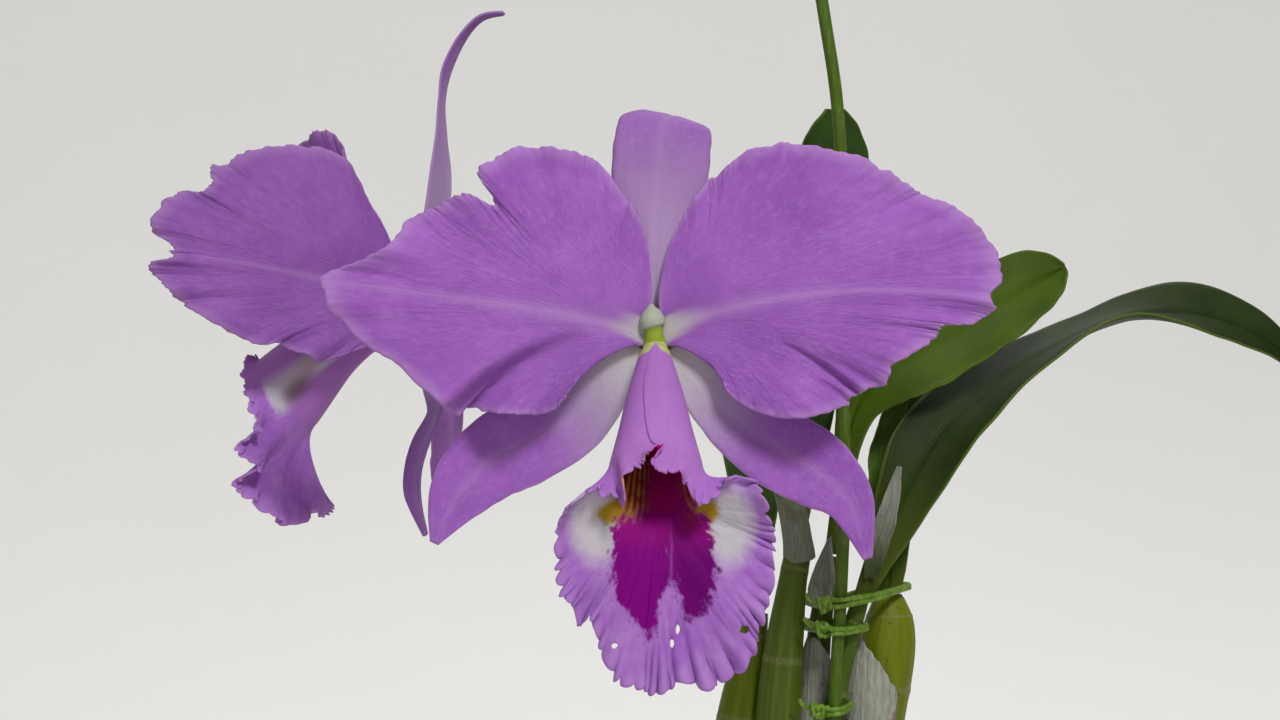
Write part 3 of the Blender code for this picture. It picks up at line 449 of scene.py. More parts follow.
# The pseudobulbs: swollen stems that store water, waxy green to olive, with faint ribs along them and a
# pale ring scar where each sheath was fixed. The broad olive one at the right is the oldest.
BULBS = {
    "pseudobulb_olive": [
        (22, 5, SEAT_TOP + 0.3, 3.2), (21, 5.5, 135, 4.6), (19.5, 6, 170, 5.6), (18.5, 6, 205, 6.8),
        (20, 6, 232, 8.4), (23, 6, 253, 8.8), (24.5, 6, 264, 7.6), (24.6, 6, 271, 5.2),
        (24.6, 6, 273.5, 3.6)],
    "pseudobulb_green": [
        (-9, -4.5, SEAT_TOP + 0.3, 3.2), (-9.6, -5, 140, 4.6), (-10, -6, 180, 5.8), (-9.6, -6.5, 220, 6.6),
        (-8.6, -6.5, 243, 6.4), (-6.8, -6, 262, 5.4), (-4.8, -5.5, 277, 4.2), (-2.9, -5, 287, 3.9),
        (-2.2, -5, 290.5, 3.7)],
    "pseudobulb_yellow": [
        (-22, -2, SEAT_TOP + 0.3, 3.2), (-23.5, -2, 140, 4.6), (-24, -1.5, 175, 5.8), (-22.5, -0.5, 210, 6.6),
        (-20, 1, 236, 6.6), (-17, 2.5, 254, 5.2), (-15, 3.5, 265, 3.8), (-14.4, 3.8, 268.5, 3.2)],
    "pseudobulb_slim_left": [
        (2, 1, SEAT_TOP + 0.3, 3.0), (1, 1.5, 140, 3.0), (1, 2, 180, 3.3), (1.6, 2, 220, 3.7),
        (2.4, 2, 245, 3.9), (4, 2, 265, 3.4), (6.4, 2.2, 280, 2.7), (7.4, 2.4, 285, 2.5)],
    "pseudobulb_slim_right": [
        (8.5, -6.5, SEAT_TOP + 0.3, 2.8), (8, -6.8, 140, 2.7), (7, -7, 180, 2.7), (7, -7.2, 220, 2.8),
        (8, -7.6, 245, 3.0), (11, -7.8, 260, 2.9), (13.8, -7.8, 270, 2.6), (14.8, -7.8, 273, 2.4)],
}
BULB_SKINS = {
    "olive": ((0.105, 0.135, 0.003, 1), (0.150, 0.165, 0.004, 1), (0.12, 0.15, 0.006, 1)),
    "green": ((0.060, 0.098, 0.009, 1), (0.095, 0.135, 0.014, 1), (0.028, 0.045, 0.005, 1)),
    "yellow": ((0.090, 0.130, 0.004, 1), (0.130, 0.160, 0.006, 1), (0.06, 0.09, 0.006, 1)),
    "slim": ((0.045, 0.080, 0.006, 1), (0.070, 0.110, 0.008, 1), (0.050, 0.090, 0.006, 1)),
}
BULB_JOINTS = (0.30, 0.58, 0.80)
SCAR_EDGES = (0.009, 0.004)
SCAR_PALE = (0.19, 0.19, 0.08, 1)
BLEMISH = (0.05, 0.035, 0.012, 1)
bulb_finishes = {}
for skin, (low, high, young) in BULB_SKINS.items():
    bulb_skin, place, along, streaks, specks, colour = stem_finish(
        "bulb_" + skin, low, high, young, Specular_IOR_Level=0.16)
    scars = abs(along - BULB_JOINTS[0]).grown(*SCAR_EDGES)
    for joint in BULB_JOINTS[1:]:
        scars = scars.most(abs(along - joint).grown(*SCAR_EDGES))
    blemish = place.clouds(2.2, 3, 0.55).grown(0.68, 0.73)
    colour = (scars * 0.35).tint(colour, SCAR_PALE)
    colour = (blemish * 0.8).tint(colour, BLEMISH)
    bloom = place.clouds(14, 3, 0.6)
    relief = specks * 0.15 + streaks * 0.5 - scars * 0.5
    wear(bulb_skin, colour, bloom * 0.25 + specks * 0.1 + 0.34, relief, 0.25)
    bulb_finishes[skin] = bulb_skin
for name, route in BULBS.items():
    skin = name.split("_")[1]
    ribs = 15 if route[4][3] > 5 else 9
    wander = len(name)

    def bulb_swell(a, turn):
        rib = 0.016 * (1 - abs(sin(ribs * turn / 2))) * min(1, 5 * a, 8 * (1 - a))
        ring = sum(0.03 * exp(-((a - joint) / 0.008) ** 2) for joint in BULB_JOINTS)
        dent = 0.03 * noise.noise(Vector((5 * a, cos(turn) + wander, sin(turn))))
        return 0.985 + rib + ring + dent

    bm = bmesh.new()
    sweep(bm, route, 110, 4 * ribs, (0, -1, 0), bulb_swell)
    shown(name + "_skin", bm, bulb_finishes[skin], "pseudobulb", name)


# The leaves: thick and leathery, one on each pseudobulb, folded along a sunken midrib that is a keel
# behind. The young one is bright, and the old long one is dark with a paler edge.
LEAVES = {
    "leaf_bright": (
        [(7.7, 2.4, 285.6), (10.2, 0, 304.5), (11.8, -2, 319), (14.8, -3, 329.5), (21.2, -3, 337.5),
         (30, -2, 343.6), (41.6, 0, 350.3), (54.5, 2, 358.4), (64.5, 3, 364.2), (72, 3, 367.8),
         (76, 3, 369.5)],
        [2.2, 2.8, 4, 6.5, 10, 12.2, 12.8, 12.2, 10.6, 7.0, 1.2],
        [(0, -1, 0.2), (0, -1, 0.3), (0, -1, 0.4)], 0.16),
    "leaf_long": (
        [(15.2, -7.8, 273.8), (19.9, -8.5, 284.7), (23.5, -8, 294), (30, -6, 308), (38.5, -2, 321),
         (49.5, 3, 330.5), (62.2, 8, 339.5), (75.5, 12, 347), (88.8, 16, 353), (102.2, 20, 356.2),
         (117, 23, 356.4), (130.3, 25, 353.5), (142, 26, 347.5), (149.5, 26, 340)],
        [2.4, 4, 6.5, 9.5, 11.5, 12.5, 13, 13, 12.5, 12, 11.5, 9.5, 6, 1.4],
        [(0, -1, 0.1), (0, -1, 0.3), (-0.3, -0.55, 0.8), (-0.2, -0.1, 1), (0.2, -0.75, 0.8),
         (0.4, -0.9, 0.4)], 0.22),
    "leaf_upright": (
        [(-2.3, -2.5, 291.2), (-2, 2, 300), (-0.5, 7, 318), (2, 11, 342), (5, 13, 368), (7.6, 14, 392),
         (9, 14, 408), (9.2, 13, 417)],
        [1.8, 3.2, 6.5, 10.5, 12.8, 12.2, 9.4, 2.8],
        [(0, -1, 0), (0.1, -1, 0), (0.1, -1, 0)], 0.18),
    "leaf_hidden": (
        [(-14.2, 3.8, 269.1), (-14.5, 8, 285), (-14.5, 13, 305), (-14, 18, 330), (-13.5, 21, 352),
         (-13, 23, 372), (-13, 24, 388)],
        [2.2, 4, 8, 11.5, 12, 8, 1.5],
        [(0, -1, 0), (-0.1, -1, 0), (-0.1, -1, 0)], 0.18),
    "leaf_of_olive_bulb": (
        [(24.6, 6, 274.1), (24.9, 7, 284), (25.5, 9.5, 297), (27.5, 12, 312), (30.5, 13, 326), (34, 13, 338)],
        [3.6, 5, 6.6, 8.4, 7.0, 1.4],
        [(0, -1, 0), (0, -1, 0.1), (0, -1, 0.2)], 0.20),
}
LEAF_THICKNESS = 1.2
LEAF_SKINS = {
    "leaf_bright": ((0.036, 0.070, 0.002, 1), (0.054, 0.096, 0.003, 1)),
    "leaf_long": ((0.010, 0.021, 0.002, 1), (0.018, 0.032, 0.003, 1)),
    "leaf_upright": ((0.018, 0.042, 0.005, 1), (0.030, 0.062, 0.008, 1)),
    "leaf_hidden": ((0.018, 0.042, 0.005, 1), (0.030, 0.062, 0.008, 1)),
    "leaf_of_olive_bulb": ((0.035, 0.070, 0.006, 1), (0.055, 0.105, 0.009, 1)),
}
LEAF_EDGE = (0.10, 0.15, 0.02, 1)
LEAF_SPECK = (0.06, 0.06, 0.02, 1)
LEAF_BASE = (0.085, 0.115, 0.012, 1)


def blade(name, columns, rows, place, thickness, finish, thin_edge=0.4, extras=None, crowd=1.0):
    """A thin blade: a flat grid whose points place(a, b) moves, thinner towards its edges.

    extras names more layers of the blade and the function of (a, b) that fills each. A crowd over 1 sets
    the rows closer together towards the margin, where b is 1.
    """
    bm = bmesh.new()
    weight = bm.verts.layers.deform.verify()
    for key in extras or {}:
        bm.verts.layers.float.new(key)
    layers = [(bm.verts.layers.float[key], fill) for key, fill in (extras or {}).items()]
    grid = bmesh.ops.create_grid(bm, x_segments=columns, y_segments=rows, size=0.5)["verts"]
    for vert in grid:
        vert.co.y = 0.5 - (0.5 - vert.co.y) ** crowd
    mapped(bm, "blade", grid)
    for vert in grid:
        a, b = vert.co.x + 0.5, vert.co.y + 0.5
        for layer, fill in layers:
            vert[layer] = fill(a, b)
        vert[weight][0] = 0.0 if vert.is_boundary else 1.0
        vert.co = place(a, b) * MM
    piece = finished(name, bm, finish)
    piece.vertex_groups.new(name="thick")
    wall = piece.modifiers.new("Thickness", "SOLIDIFY")
    wall.thickness = thickness * MM
    wall.offset = 0.0
    wall.vertex_group = "thick"
    wall.thickness_vertex_group = thin_edge
    return piece


def strap_place(route, half_widths, faces, cup, groove=0.0, waver=0.0):
    """Place points on a long blade: a midline, its half widths and the way its front faces.

    A positive cup lifts both edges to the front, a groove sinks the midrib, and waver moves the edges.
    """
    widths = [(width,) for width in half_widths]
    seed = len(route) + half_widths[2]

    @cache
    def section(a):
        forward = direction_at(route, a)
        across = forward.cross(Vector(curve_at(faces, a))).normalized()
        return point_at(route, a), across, across.cross(forward), curve_at(widths, a)[0]

    def place(a, b):
        middle, across, front, width = section(round(a, 6))
        side = 2 * b - 1
        lift = cup * width * side * side - groove * exp(-(side / 0.09) ** 2)
        lift += waver * abs(side) ** 3 * 2 * noise.noise(Vector((7 * a, side, seed)))
        reach = width * (1 + 0.1 * waver * abs(side) * noise.noise(Vector((16 * a, 2 * side, seed + 5))))
        return middle + across * (side * reach) + front * lift

    return place


for name, (route, half_widths, faces, cup) in LEAVES.items():
    low, high = LEAF_SKINS[name]
    leather, place = new_finish(name + "_skin", Specular_IOR_Level=0.12)
    _, along, across = place.mapped("blade")
    from_rib = abs(across - 0.5) * 2
    veins = (across + place.clouds(20) * 0.01).ridges(34, 3.0)
    mottle = place.clouds(16, 4, 0.6)
    pores = place.clouds(0.5, 2, 0.5)
    colour = mottle.grown(0.35, 0.68).tint(low, high)
    colour = (veins * 0.22).tint(colour, high)
    colour = (from_rib.grown(0.07, 0.0) * 0.55).tint(colour, low)
    colour = (from_rib.grown(0.95, 1.0) * 0.6).tint(colour, LEAF_EDGE)
    colour = (along.grown(0.28, 0.04) * 0.8).tint(colour, LEAF_BASE)
    colour = (place.clouds(3, 3).grown(0.69, 0.74) * 0.6).tint(colour, LEAF_SPECK)
    wear(leather, colour, mottle * 0.16 + pores * 0.08 + 0.36, veins * 0.25 + pores * 0.2 + mottle * 0.5, 0.3)
    columns = 16 * len(route)
    leaf = blade(name + "_blade", columns, 24, strap_place(route, half_widths, faces, cup, 0.9, 0.8),
                 LEAF_THICKNESS, leather, 0.5)
    stands_for(leaf, name)


# The dry sheaths: papery scale leaves that once wrapped each growing stem. They have dried to a thin
# grey-white skin with fine ribs, torn at the top and standing a little off the stem.
SHEATH_PALE = (0.34, 0.35, 0.29, 1)
SHEATH_GREY = (0.20, 0.205, 0.16, 1)
SHEATH_FRESH = (0.045, 0.065, 0.015, 1)
SHEATH_BROWN = (0.13, 0.085, 0.045, 1)
SHEATH_THICKNESS = 0.35
paper, place = new_finish("dry_paper_sheath", Roughness=0.75)
across = place.carried("across")
fresh = place.carried("fresh")
ribs = (across + place.clouds(12) * 0.06).ridges(15, 1.5)
fibres = place.clouds(2.2, 5, 0.65, (3.0, 3.0, 0.35))
blotch = place.clouds(11, 4, 0.65)
colour = (fibres * 0.9 + ribs * 0.1).grown(0.3, 0.72).tint(SHEATH_GREY, SHEATH_PALE)
colour = (blotch.grown(0.54, 0.68) * 0.75).tint(colour, SHEATH_BROWN)
colour = fresh.grown(0.1, 0.9).tint(colour, SHEATH_FRESH)
wear(paper, colour, None, ribs * 0.3 + fibres * 1.0 + blotch, 0.35)


def sleeve_place(route, span, facing, drop):
    """Part of a cone round a stem's route, its top drawn out to a torn point."""
    facing = Vector(facing)
    seed = route[0][2]

    def place(a, b):
        side = 2 * a - 1
        turn = side * span / 2
        tear = 0.05 * b * noise.noise(Vector((14 * a, seed, 2)))
        height = min(max(b * (1 - drop * abs(side) ** 1.3) + tear, 0.0), 1.0)
        x, y, z, radius = curve_at(route, height)
        along = direction_at(route, height)
        front = (facing - along * facing.dot(along)).normalized()
        across = along.cross(front)
        radius += 0.5 * noise.noise(Vector((5 * a, 6 * b, seed)))
        return Vector((x, y, z)) + front * (radius * cos(turn)) + across * (radius * sin(turn))

    return place


OLD_SHEATH_ROUTE = [(17.0, -10.0, 279.6), (18.8, -11.8, 288), (22.0, -13.4, 299), (25.4, -13.8, 312)]
SHEATHS = {
    "dry_sheath_olive_bulb": sleeve_place(
        [(21.2, 5.3, 128, 5.4), (19.2, 5.8, 170, 7.0), (18.0, 5.6, 205, 8.4), (18.2, 5.0, 232, 9.6),
         (18.8, 4.4, 250, 10.4), (19.6, 4.0, 263, 8.6)],
        radians(190), (-0.75, -0.66, 0), 0.26),
    "dry_sheath_slim_bulb": sleeve_place(
        [(1.4, 1.3, 128, 4.1), (1, 2, 180, 4.4), (1.6, 2, 220, 4.9), (2.4, 2, 240, 5.1),
         (2.9, 1.9, 252, 4.9), (3.4, 1.8, 262, 4.6)],
        radians(220), (-0.4, -0.9, 0), 0.25),
    "dry_sheath_bract": sleeve_place(
        [(3.6, 2, 270, 4.4), (5.2, 1.8, 277, 4.1), (6.8, 1.6, 284, 3.6), (8.0, 1.4, 291, 2.6)],
        radians(130), (-0.5, -0.86, 0), 0.6),
    "flower_sheath": sleeve_place(
        [(-2.4, -5.2, 285.5, 4.7), (-4.2, -8.6, 297, 4.2), (-8, -12, 309, 3.6), (-12.6, -14.1, 316.5, 3.3),
         (-16.4, -15.8, 322, 2.9)],
        radians(230), (-0.6, -0.6, 0.5), 0.35),
    "old_flower_sheath": strap_place(
        OLD_SHEATH_ROUTE, [1.6, 3.0, 2.8, 0.7], [(0.1, -1, 0), (0.1, -1, 0)], 0.45, 0.3, 0.6),
}
for name, place in SHEATHS.items():
    flat = name == "old_flower_sheath"
    sheath = blade(name + "_paper", 40, 48, place, SHEATH_THICKNESS, paper, 0.7, {
        "across": lambda a, b: b if flat else a,
        "fresh": lambda a, b: 1 - a if flat else 0.55 * (name == "flower_sheath")})
    stands_for(sheath, name)


# The stake: a slim steel rod in a fresh green plastic coat, pushed deep into the bark and bent a little by
# the weight of the plant. Its upper end runs far above the flowers.
STAKE_RADIUS = 1.8
STAKE_ROUTE = [
    (STAKE_X, STAKE_Y, STAKE_FOOT), (STAKE_X, STAKE_Y, 80), (STAKE_X, STAKE_Y, 116), (6.9, -14.4, 160),
    (6.6, -14.2, 205),
    (6.9, -14, 245), (8.6, -14, 275), (9.6, -14, 305), (9.4, -14, 345), (9.0, -14, 385), (7.6, -14, 415),
    (4.0, -14, 440), (-0.6, -14, 468)]
STAKE_GREEN = (0.050, 0.095, 0.004, 1)
STAKE_WORN = (0.080, 0.130, 0.010, 1)
STAKE_DUST = (0.14, 0.14, 0.09, 1)
coat, place = new_finish("stake_plastic", Specular_IOR_Level=0.2)
scuffs = place.clouds(3.0, 5, 0.7, (3.0, 3.0, 0.4))
dust = place.clouds(8, 4, 0.6).grown(0.55, 0.7)
colour = scuffs.grown(0.45, 0.7).tint(STAKE_GREEN, STAKE_WORN)
colour = (dust * 0.35).tint(colour, STAKE_DUST)
wear(coat, colour, scuffs * 0.25 + dust * 0.2 + 0.3, scuffs * 0.6, 0.15)
bm = bmesh.new()
sweep(bm, [(x, y, z, STAKE_RADIUS) for x, y, z in STAKE_ROUTE], 190, 28, (0, -1, 0),
      lambda a, turn: 0.98 + 0.02 * sin(2 * pi * 95 * a + turn) ** 8)
shown("stake_rod", bm, coat, "stake", "stake")


# The ties: soft green plastic-coated wire, pulled twice round the stems and the stake. Each is closed by a
# lumpy knot and by twisting its two ends round each other, and the ends are left standing off.
TIE_RADIUS = 0.8
TIE_GAP = 0.3
TIES = {
    "tie_upper": ([(8.6, -14, STAKE_RADIUS), (15.4, -8.2, 3.6), (24.7, 6.2, 4.4)], 275, 0.1,
                  (4.8, -16.0, 272.6)),
    "tie_middle": ([(8.1, -14, STAKE_RADIUS), (12.4, -7.8, 3.1), (4.2, 2.0, 3.7)], 265.8, 0.0,
                   (4.2, -15.6, 265.8)),
    "tie_lower": ([(6.8, -14, STAKE_RADIUS), (8.0, -7.5, 3.1)], 243, 0.1, (2.9, -15.0, 242.6)),
}
TIE_TURNS = ((0.0, 0.0), (1.3, 0.05))
TIE_ENDS = ((-6.0, -2.5, 3.0), (2.0, -4.0, -4.5))
TIE_END_RADIUS = 0.66
KNOT_RADIUS = 0.72
KNOT_FACING = (0.3, -1, 0.2)
KNOT_POINTS = 10
KNOT_BOX = ((-2.8, 1.8), (-1.6, 1.2), (-2.6, 2.6))
TWIST_RADIUS = 0.75
TWIST_POINTS = 13
TIE_GREEN = (0.085, 0.165, 0.010, 1)
TIE_LIGHT = (0.17, 0.28, 0.03, 1)
soft_plastic, place = new_finish("tie_plastic", Specular_IOR_Level=0.25)
creases = place.clouds(1.6, 4, 0.6)
colour = creases.grown(0.4, 0.65).tint(TIE_GREEN, TIE_LIGHT)
wear(soft_plastic, colour, creases * 0.2 + 0.32, creases, 0.2)


def hull(points):
    """The corners of the tightest loop round flat points, in order."""
    def half(ordered):
        kept = []
        for p in ordered:
            while len(kept) > 1:
                (ax, ay), (bx, by) = kept[-2], kept[-1]
                if (bx - ax) * (p[1] - ay) - (by - ay) * (p[0] - ax) > 0:
                    break
                kept.pop()
            kept.append(p)
        return kept[:-1]

    ordered = sorted(points)
    return half(ordered) + half(ordered[::-1])


for name, (stems, level, rise, knot) in TIES.items():
    around = []
    for x, y, radius in stems:
        reach = radius + TIE_GAP + TIE_RADIUS
        around += [(x + reach * cos(i * pi / 12), y + reach * sin(i * pi / 12)) for i in range(24)]
    corners = hull(around)
    middle = sum(x for x, y in corners) / len(corners)
    start = min(range(len(corners)), key=lambda i: hypot(corners[i][0] - knot[0], corners[i][1] - knot[1]))
    corners = corners[start:] + corners[:start + 1]
    bm = bmesh.new()
    for drop, swing in TIE_TURNS:
        loop = [(x, y, level - drop + (rise + swing) * (x - middle), TIE_RADIUS) for x, y in corners]
        sweep(bm, loop, 110, 14, (0, 0, 1), lambda a, turn: 0.9 + 0.1 * sin(2 * turn + 2 * pi * 22 * a))
    draw = random.Random(level)
    knot = Vector(knot)
    tangle = [knot + Vector([draw.uniform(*side) for side in KNOT_BOX]) for _ in range(KNOT_POINTS)]
    sweep(bm, [(*point, KNOT_RADIUS) for point in tangle], 130, 12, KNOT_FACING)
    twist = Vector(TIE_ENDS[0]) * 0.45
    for phase, end in zip((0, pi), TIE_ENDS):
        route = []
        for i in range(TWIST_POINTS):
            t = i / (TWIST_POINTS - 1)
            turn = phase + 4 * pi * t
            aside = Vector((0, cos(turn), sin(turn))) * TWIST_RADIUS
            route.append((*(knot + twist * t + aside), KNOT_RADIUS))
        tip = Vector(route[-1][:3])
        for t in (0.3, 0.6, 1.0):
            sag = Vector((0, 0, -1.5 * t * (1 - t) * 4))
            route.append((*(tip + Vector(end) * t * 0.62 + sag), TIE_END_RADIUS))
        sweep(bm, route, 70, 10, KNOT_FACING, lambda a, turn: 0.9 + 0.1 * sin(2 * turn + 2 * pi * 8 * a))
    shown(name + "_wire", bm, soft_plastic, "tie", name)


# The flower stalks: a short peduncle grows out of its sheath on the green pseudobulb and forks into two
# pedicels. Each thickens into the six-grooved ovary, which ends in the disc that carries the flower.
FLOWER_1 = Matrix.Translation((-45.0, -90.0, 350.0))
FLOWER_2 = Matrix.Translation((-110.0, -35.0, 356.0)) @ Matrix.Rotation(radians(-97.0), 4, "Z")
PEDUNCLE_ROUTE = [
    (-3.2, -7.4, 291.6, 1.7), (-4.2, -9.2, 299, 2.2), (-8, -12, 309, 2.2), (-13.5, -14.5, 318, 2.3),
    (-18.5, -16, 324.5, 2.6), (-22.9, -17.9, 328.7, 2.9), (-26.35, -23.27, 331.48, 2.4)]
STALKS = {
    "flower_1": (FLOWER_1, [
        (0, 2.0, 0.5, 6.5), (0, 3.4, 0.4, 5.9), (0, 5.0, 0, 3.6), (0.2, 12, -0.6, 3.4), (1, 22, -2, 3.7),
        (3, 33, -5, 3.3), (7, 46, -9, 2.4), (13, 58, -14, 2.1), (18.5, 66.5, -18.4, 2.1)]),
    "flower_2": (FLOWER_2, [
        (0, 2.0, 0.5, 6.5), (0, 3.4, 0.4, 5.9), (0, 5.0, 0, 3.6), (0, 13, -1.4, 3.4), (-0.5, 23, -3.4, 3.7),
        (-2, 34, -7, 3.3), (-4, 48, -12, 2.4), (-6, 62, -17.5, 2.1), (-8, 76.0, -23.5, 2.1)]),
}
STALK_GREEN = (0.17, 0.26, 0.06, 1)
STALK_PALE = (0.27, 0.31, 0.13, 1)
STALK_LILAC = (0.24, 0.14, 0.22, 1)
stalk_skin, place, along, streaks, specks, colour = stem_finish(
    "flower_stalk_skin", STALK_GREEN, STALK_PALE, STALK_GREEN, Roughness=0.42, Subsurface_Weight=0.1,
    Subsurface_Scale=0.002)
blush = place.clouds(9, 3).grown(0.48, 0.66)
colour = (blush * 0.5).tint(colour, STALK_LILAC)
wear(stalk_skin, colour, None, specks * 0.25 + streaks * 0.4, 0.2)


def placed(stand, points):
    """Points (x, y, z, radius) of a flower, moved to where the flower stands."""
    return [(*(stand @ Vector((x, y, z))), radius) for x, y, z, radius in points]


bm = bmesh.new()
sweep(bm, PEDUNCLE_ROUTE, 60, 32, (1, 0, 0), lambda a, turn: 1 + 0.02 * sin(7 * turn))
shown("peduncle_skin", bm, stalk_skin, "flower_stalk", "peduncle")
for name, (stand, points) in STALKS.items():
    bm = bmesh.new()
    sweep(bm, placed(stand, points), 120, 48, (0, 0, 1),
          lambda a, turn: 1 - 0.05 * abs(cos(3 * turn)) ** 3 * min(1.0, 6 * a) * (1 - a))
    shown(name + "_ovary_and_pedicel", bm, stalk_skin, "flower_stalk", name + "_stalk")


# The sepals: three to a flower, behind the petals. They are firm lilac blades with a crystalline skin,
# whitish at their base, and the upper one rolls its tip backwards.
LILAC = (0.305, 0.107, 0.435, 1)
LILAC_DEEP = (0.215, 0.062, 0.330, 1)
LILAC_PALE = (0.37, 0.20, 0.46, 1)
BASE_WHITE = (0.47, 0.445, 0.455, 1)
DORSAL_BASE = (0.40, 0.275, 0.46, 1)
SEPAL_THICKNESS = 0.8
SEPALS = {
    "flower_1_dorsal_sepal": (
        FLOWER_1,
        [(0, 1.4, 5.8), (0, 1.2, 16), (0.5, 1.2, 28), (1.2, 1.2, 38), (1.8, 2.4, 47), (2.8, 6, 53),
         (4.5, 12, 55.5), (7, 18, 54), (9, 22, 50)],
        [3.6, 7, 10.5, 12.2, 12.5, 11.8, 9, 5.5, 1.2],
        [(0, -1, 0), (0, -1, 0), (0, -1, 0.3), (0.1, -0.5, 1), (0.3, 0.3, 1)], -0.08),
    "flower_1_left_sepal": (
        FLOWER_1,
        [(-3.6, 1.3, -4.4), (-11, 2.0, -12.5), (-21, 5, -22), (-32, 7.5, -28), (-43, 8.5, -34),
         (-51, 7, -43), (-56.5, 5, -54.5)],
        [3.0, 6.5, 10, 11.3, 10.5, 7.5, 1.2], [(0, -1, 0), (0, -1, 0.2), (0, -1, 0)], 0.08),
    "flower_1_right_sepal": (
        FLOWER_1,
        [(4.2, 1.3, -4.6), (11, 2.0, -13), (20, 5, -22), (30.5, 7.5, -29.5), (41.5, 8.5, -36),
         (50, 7, -44), (54.5, 5, -58.5)],
        [3.0, 6.2, 8.8, 10.5, 10, 6.5, 1.2], [(0, -1, 0), (0, -1, 0.2), (0, -1, 0)], 0.08),
    "flower_2_dorsal_sepal": (
        FLOWER_2,
        [(0, 1.3, 5.8), (0.5, 3.4, 18), (1, 6.8, 31), (1, 7.6, 45), (0.5, 6.9, 57), (0, 8.5, 66),
         (0, 12.5, 75), (0, 17.5, 80.5), (0, 24, 82)],
        [3.6, 7.5, 10.5, 11, 9.5, 7.5, 5.5, 3.5, 1.2],
        [(-0.1, -1, 0), (-0.12, -1, 0), (0.19, -1, 0), (0, -1, 0.3), (0, -0.4, 1)], 0.12),
    "flower_2_left_sepal": (
        FLOWER_2,
        [(-3.8, 1.2, -4.6), (-9, 2.2, -14), (-16, 4.8, -25), (-23, 4.0, -35), (-28, 1.5, -45),
         (-30, 0, -56)],
        [3.0, 6.5, 9, 9, 6.5, 1.2], [(-0.3, -1, 0), (-0.4, -1, 0), (-0.4, -1, 0)], 0.10),
    "flower_2_right_sepal": (
        FLOWER_2,
        [(3.8, 1.2, -4.6), (8, 3.5, -13), (13, 8, -25), (18, 5, -37), (21.5, 3.5, -48), (23, 6.9, -60.5)],
        [3.0, 6.5, 9.5, 9.5, 7, 1.2], [(0.3, -1, 0), (0.55, -1, 0), (0.6, -1, 0)], 0.10),
}


def lilac_finish(name, vein_count, white_reach, base, fan=False, tone=1.0):
    """Petal skin: veins run the long way of the blade and fork on it, and its base is whitish.

    A fan's veins run the second way of its map, and a strap's the first. A tone under 1 makes the lilac
    darker.
    """
    lilac, deep, pale = (
        (*(tone * part for part in colour[:3]), 1) for colour in (LILAC, LILAC_DEEP, LILAC_PALE))
    made, place = new_finish(name, Subsurface_Weight=0.12, Subsurface_Scale=0.002, Sheen_Weight=0.05,
                             Sheen_Roughness=0.4, Specular_IOR_Level=0.14)
    _, first, second = place.mapped("blade")
    across, along = (first, second) if fan else (second, first)
    midrib = place.carried("midrib")
    wander = across + (place.clouds(9) - 0.5) * 0.012 + (place.clouds(2.2) - 0.5) * 0.003
    outer = along.grown(0.35, 0.62)
    veins = wander.ridges(vein_count, 3.0) * (1 - outer) + wander.ridges(2 * vein_count, 3.0) * outer
    veins = veins * along.grown(0.08, 0.3) * place.clouds(6).grown(0.36, 0.6)
    cells = across.add("ShaderNodeCombineXYZ", {}, {
        "X": across * (1.6 * vein_count), "Y": along * 34, "Z": place.clouds(20) * 3})
    cells = cells.noise(1.0, 2.0)
    flush = place.clouds(24, 4, 0.6)
    sparkle = place.clouds(0.35, 2, 0.6)
    # The margin is tinted paler: a painted highlight where the edge catches light.
    rim_highlight = abs(across * 2 - 1).grown(0.93, 1.0).most(along.grown(0.95, 1.0))
    colour = (flush.grown(0.3, 0.7) * 0.7).tint(lilac, deep)
    colour = (cells.grown(0.5, 0.75) * 0.25).tint(colour, pale)
    colour = (cells.grown(0.5, 0.28) * 0.25).tint(colour, deep)
    colour = (veins * 0.16).tint(colour, deep)
    colour = (sparkle.grown(0.45, 0.75) * 0.2).tint(colour, pale)
    colour = midrib.tint(colour, pale)
    colour = (rim_highlight * 0.6).tint(colour, pale)
    colour = along.grown(white_reach, 0.03).tint(colour, base)
    creases = across.add("ShaderNodeCombineXYZ", {}, {"X": across * (0.9 * vein_count), "Y": along * 5})
    creases = creases.noise(1.0) * along.grown(0.45, 0.95) * (0.05 * vein_count)
    relief = veins * 0.25 + cells * 1.0 + sparkle * 0.4 + flush + creases
    return wear(made, colour, sparkle * 0.2 + flush * 0.1 + 0.42, relief, 0.2)


lateral_lilac = lilac_finish("lateral_sepal_lilac", 9, 0.5, BASE_WHITE)
# The upper sepals take a darker copy of the lilac, tone 0.78: painted shade on blades that face up into the
# light.
dorsal_lilac_painted_shade = lilac_finish("dorsal_sepal_lilac_painted_shade", 9, 0.7, DORSAL_BASE, tone=0.78)
for name, (stand, route, half_widths, faces, cup) in SEPALS.items():
    dorsal = "dorsal" in name
    inner = strap_place(route, half_widths, faces, cup, 0.3 if dorsal else 0.12, 0.35)
    sepal = blade(name + "_blade", 96, 24, lambda a, b: stand @ inner(a, b), SEPAL_THICKNESS,
                  dorsal_lilac_painted_shade if dorsal else lateral_lilac, 0.4,
                  {"midrib": lambda a, b: 0.35 * exp(-((b - 0.5) / 0.07) ** 2)})
    stands_for(sepal, name)


# The petals: two to a flower, far broader than the sepals, with a narrow claw. Their veins fan out from the
# claw and fork, and the margin is finely waved and scalloped.
PETAL_THICKNESS = 0.7
PETAL_WAVES = 11
PETAL_WAVE_HEIGHT = 1.0
VEIN_REACH = 0.38
NOTCH_REACH = 0.08
PETAL_CRIMPS = 105
petal_lilac = lilac_finish("petal_lilac", 62, 0.24, BASE_WHITE, fan=True)
# Flower 2's petals take a darker copy of the same lilac, tone 0.82: painted shade for the flower that stands
# behind flower 1.
petal_lilac_painted_shade = lilac_finish("petal_lilac_painted_shade", 62, 0.24, BASE_WHITE, fan=True, tone=0.82)


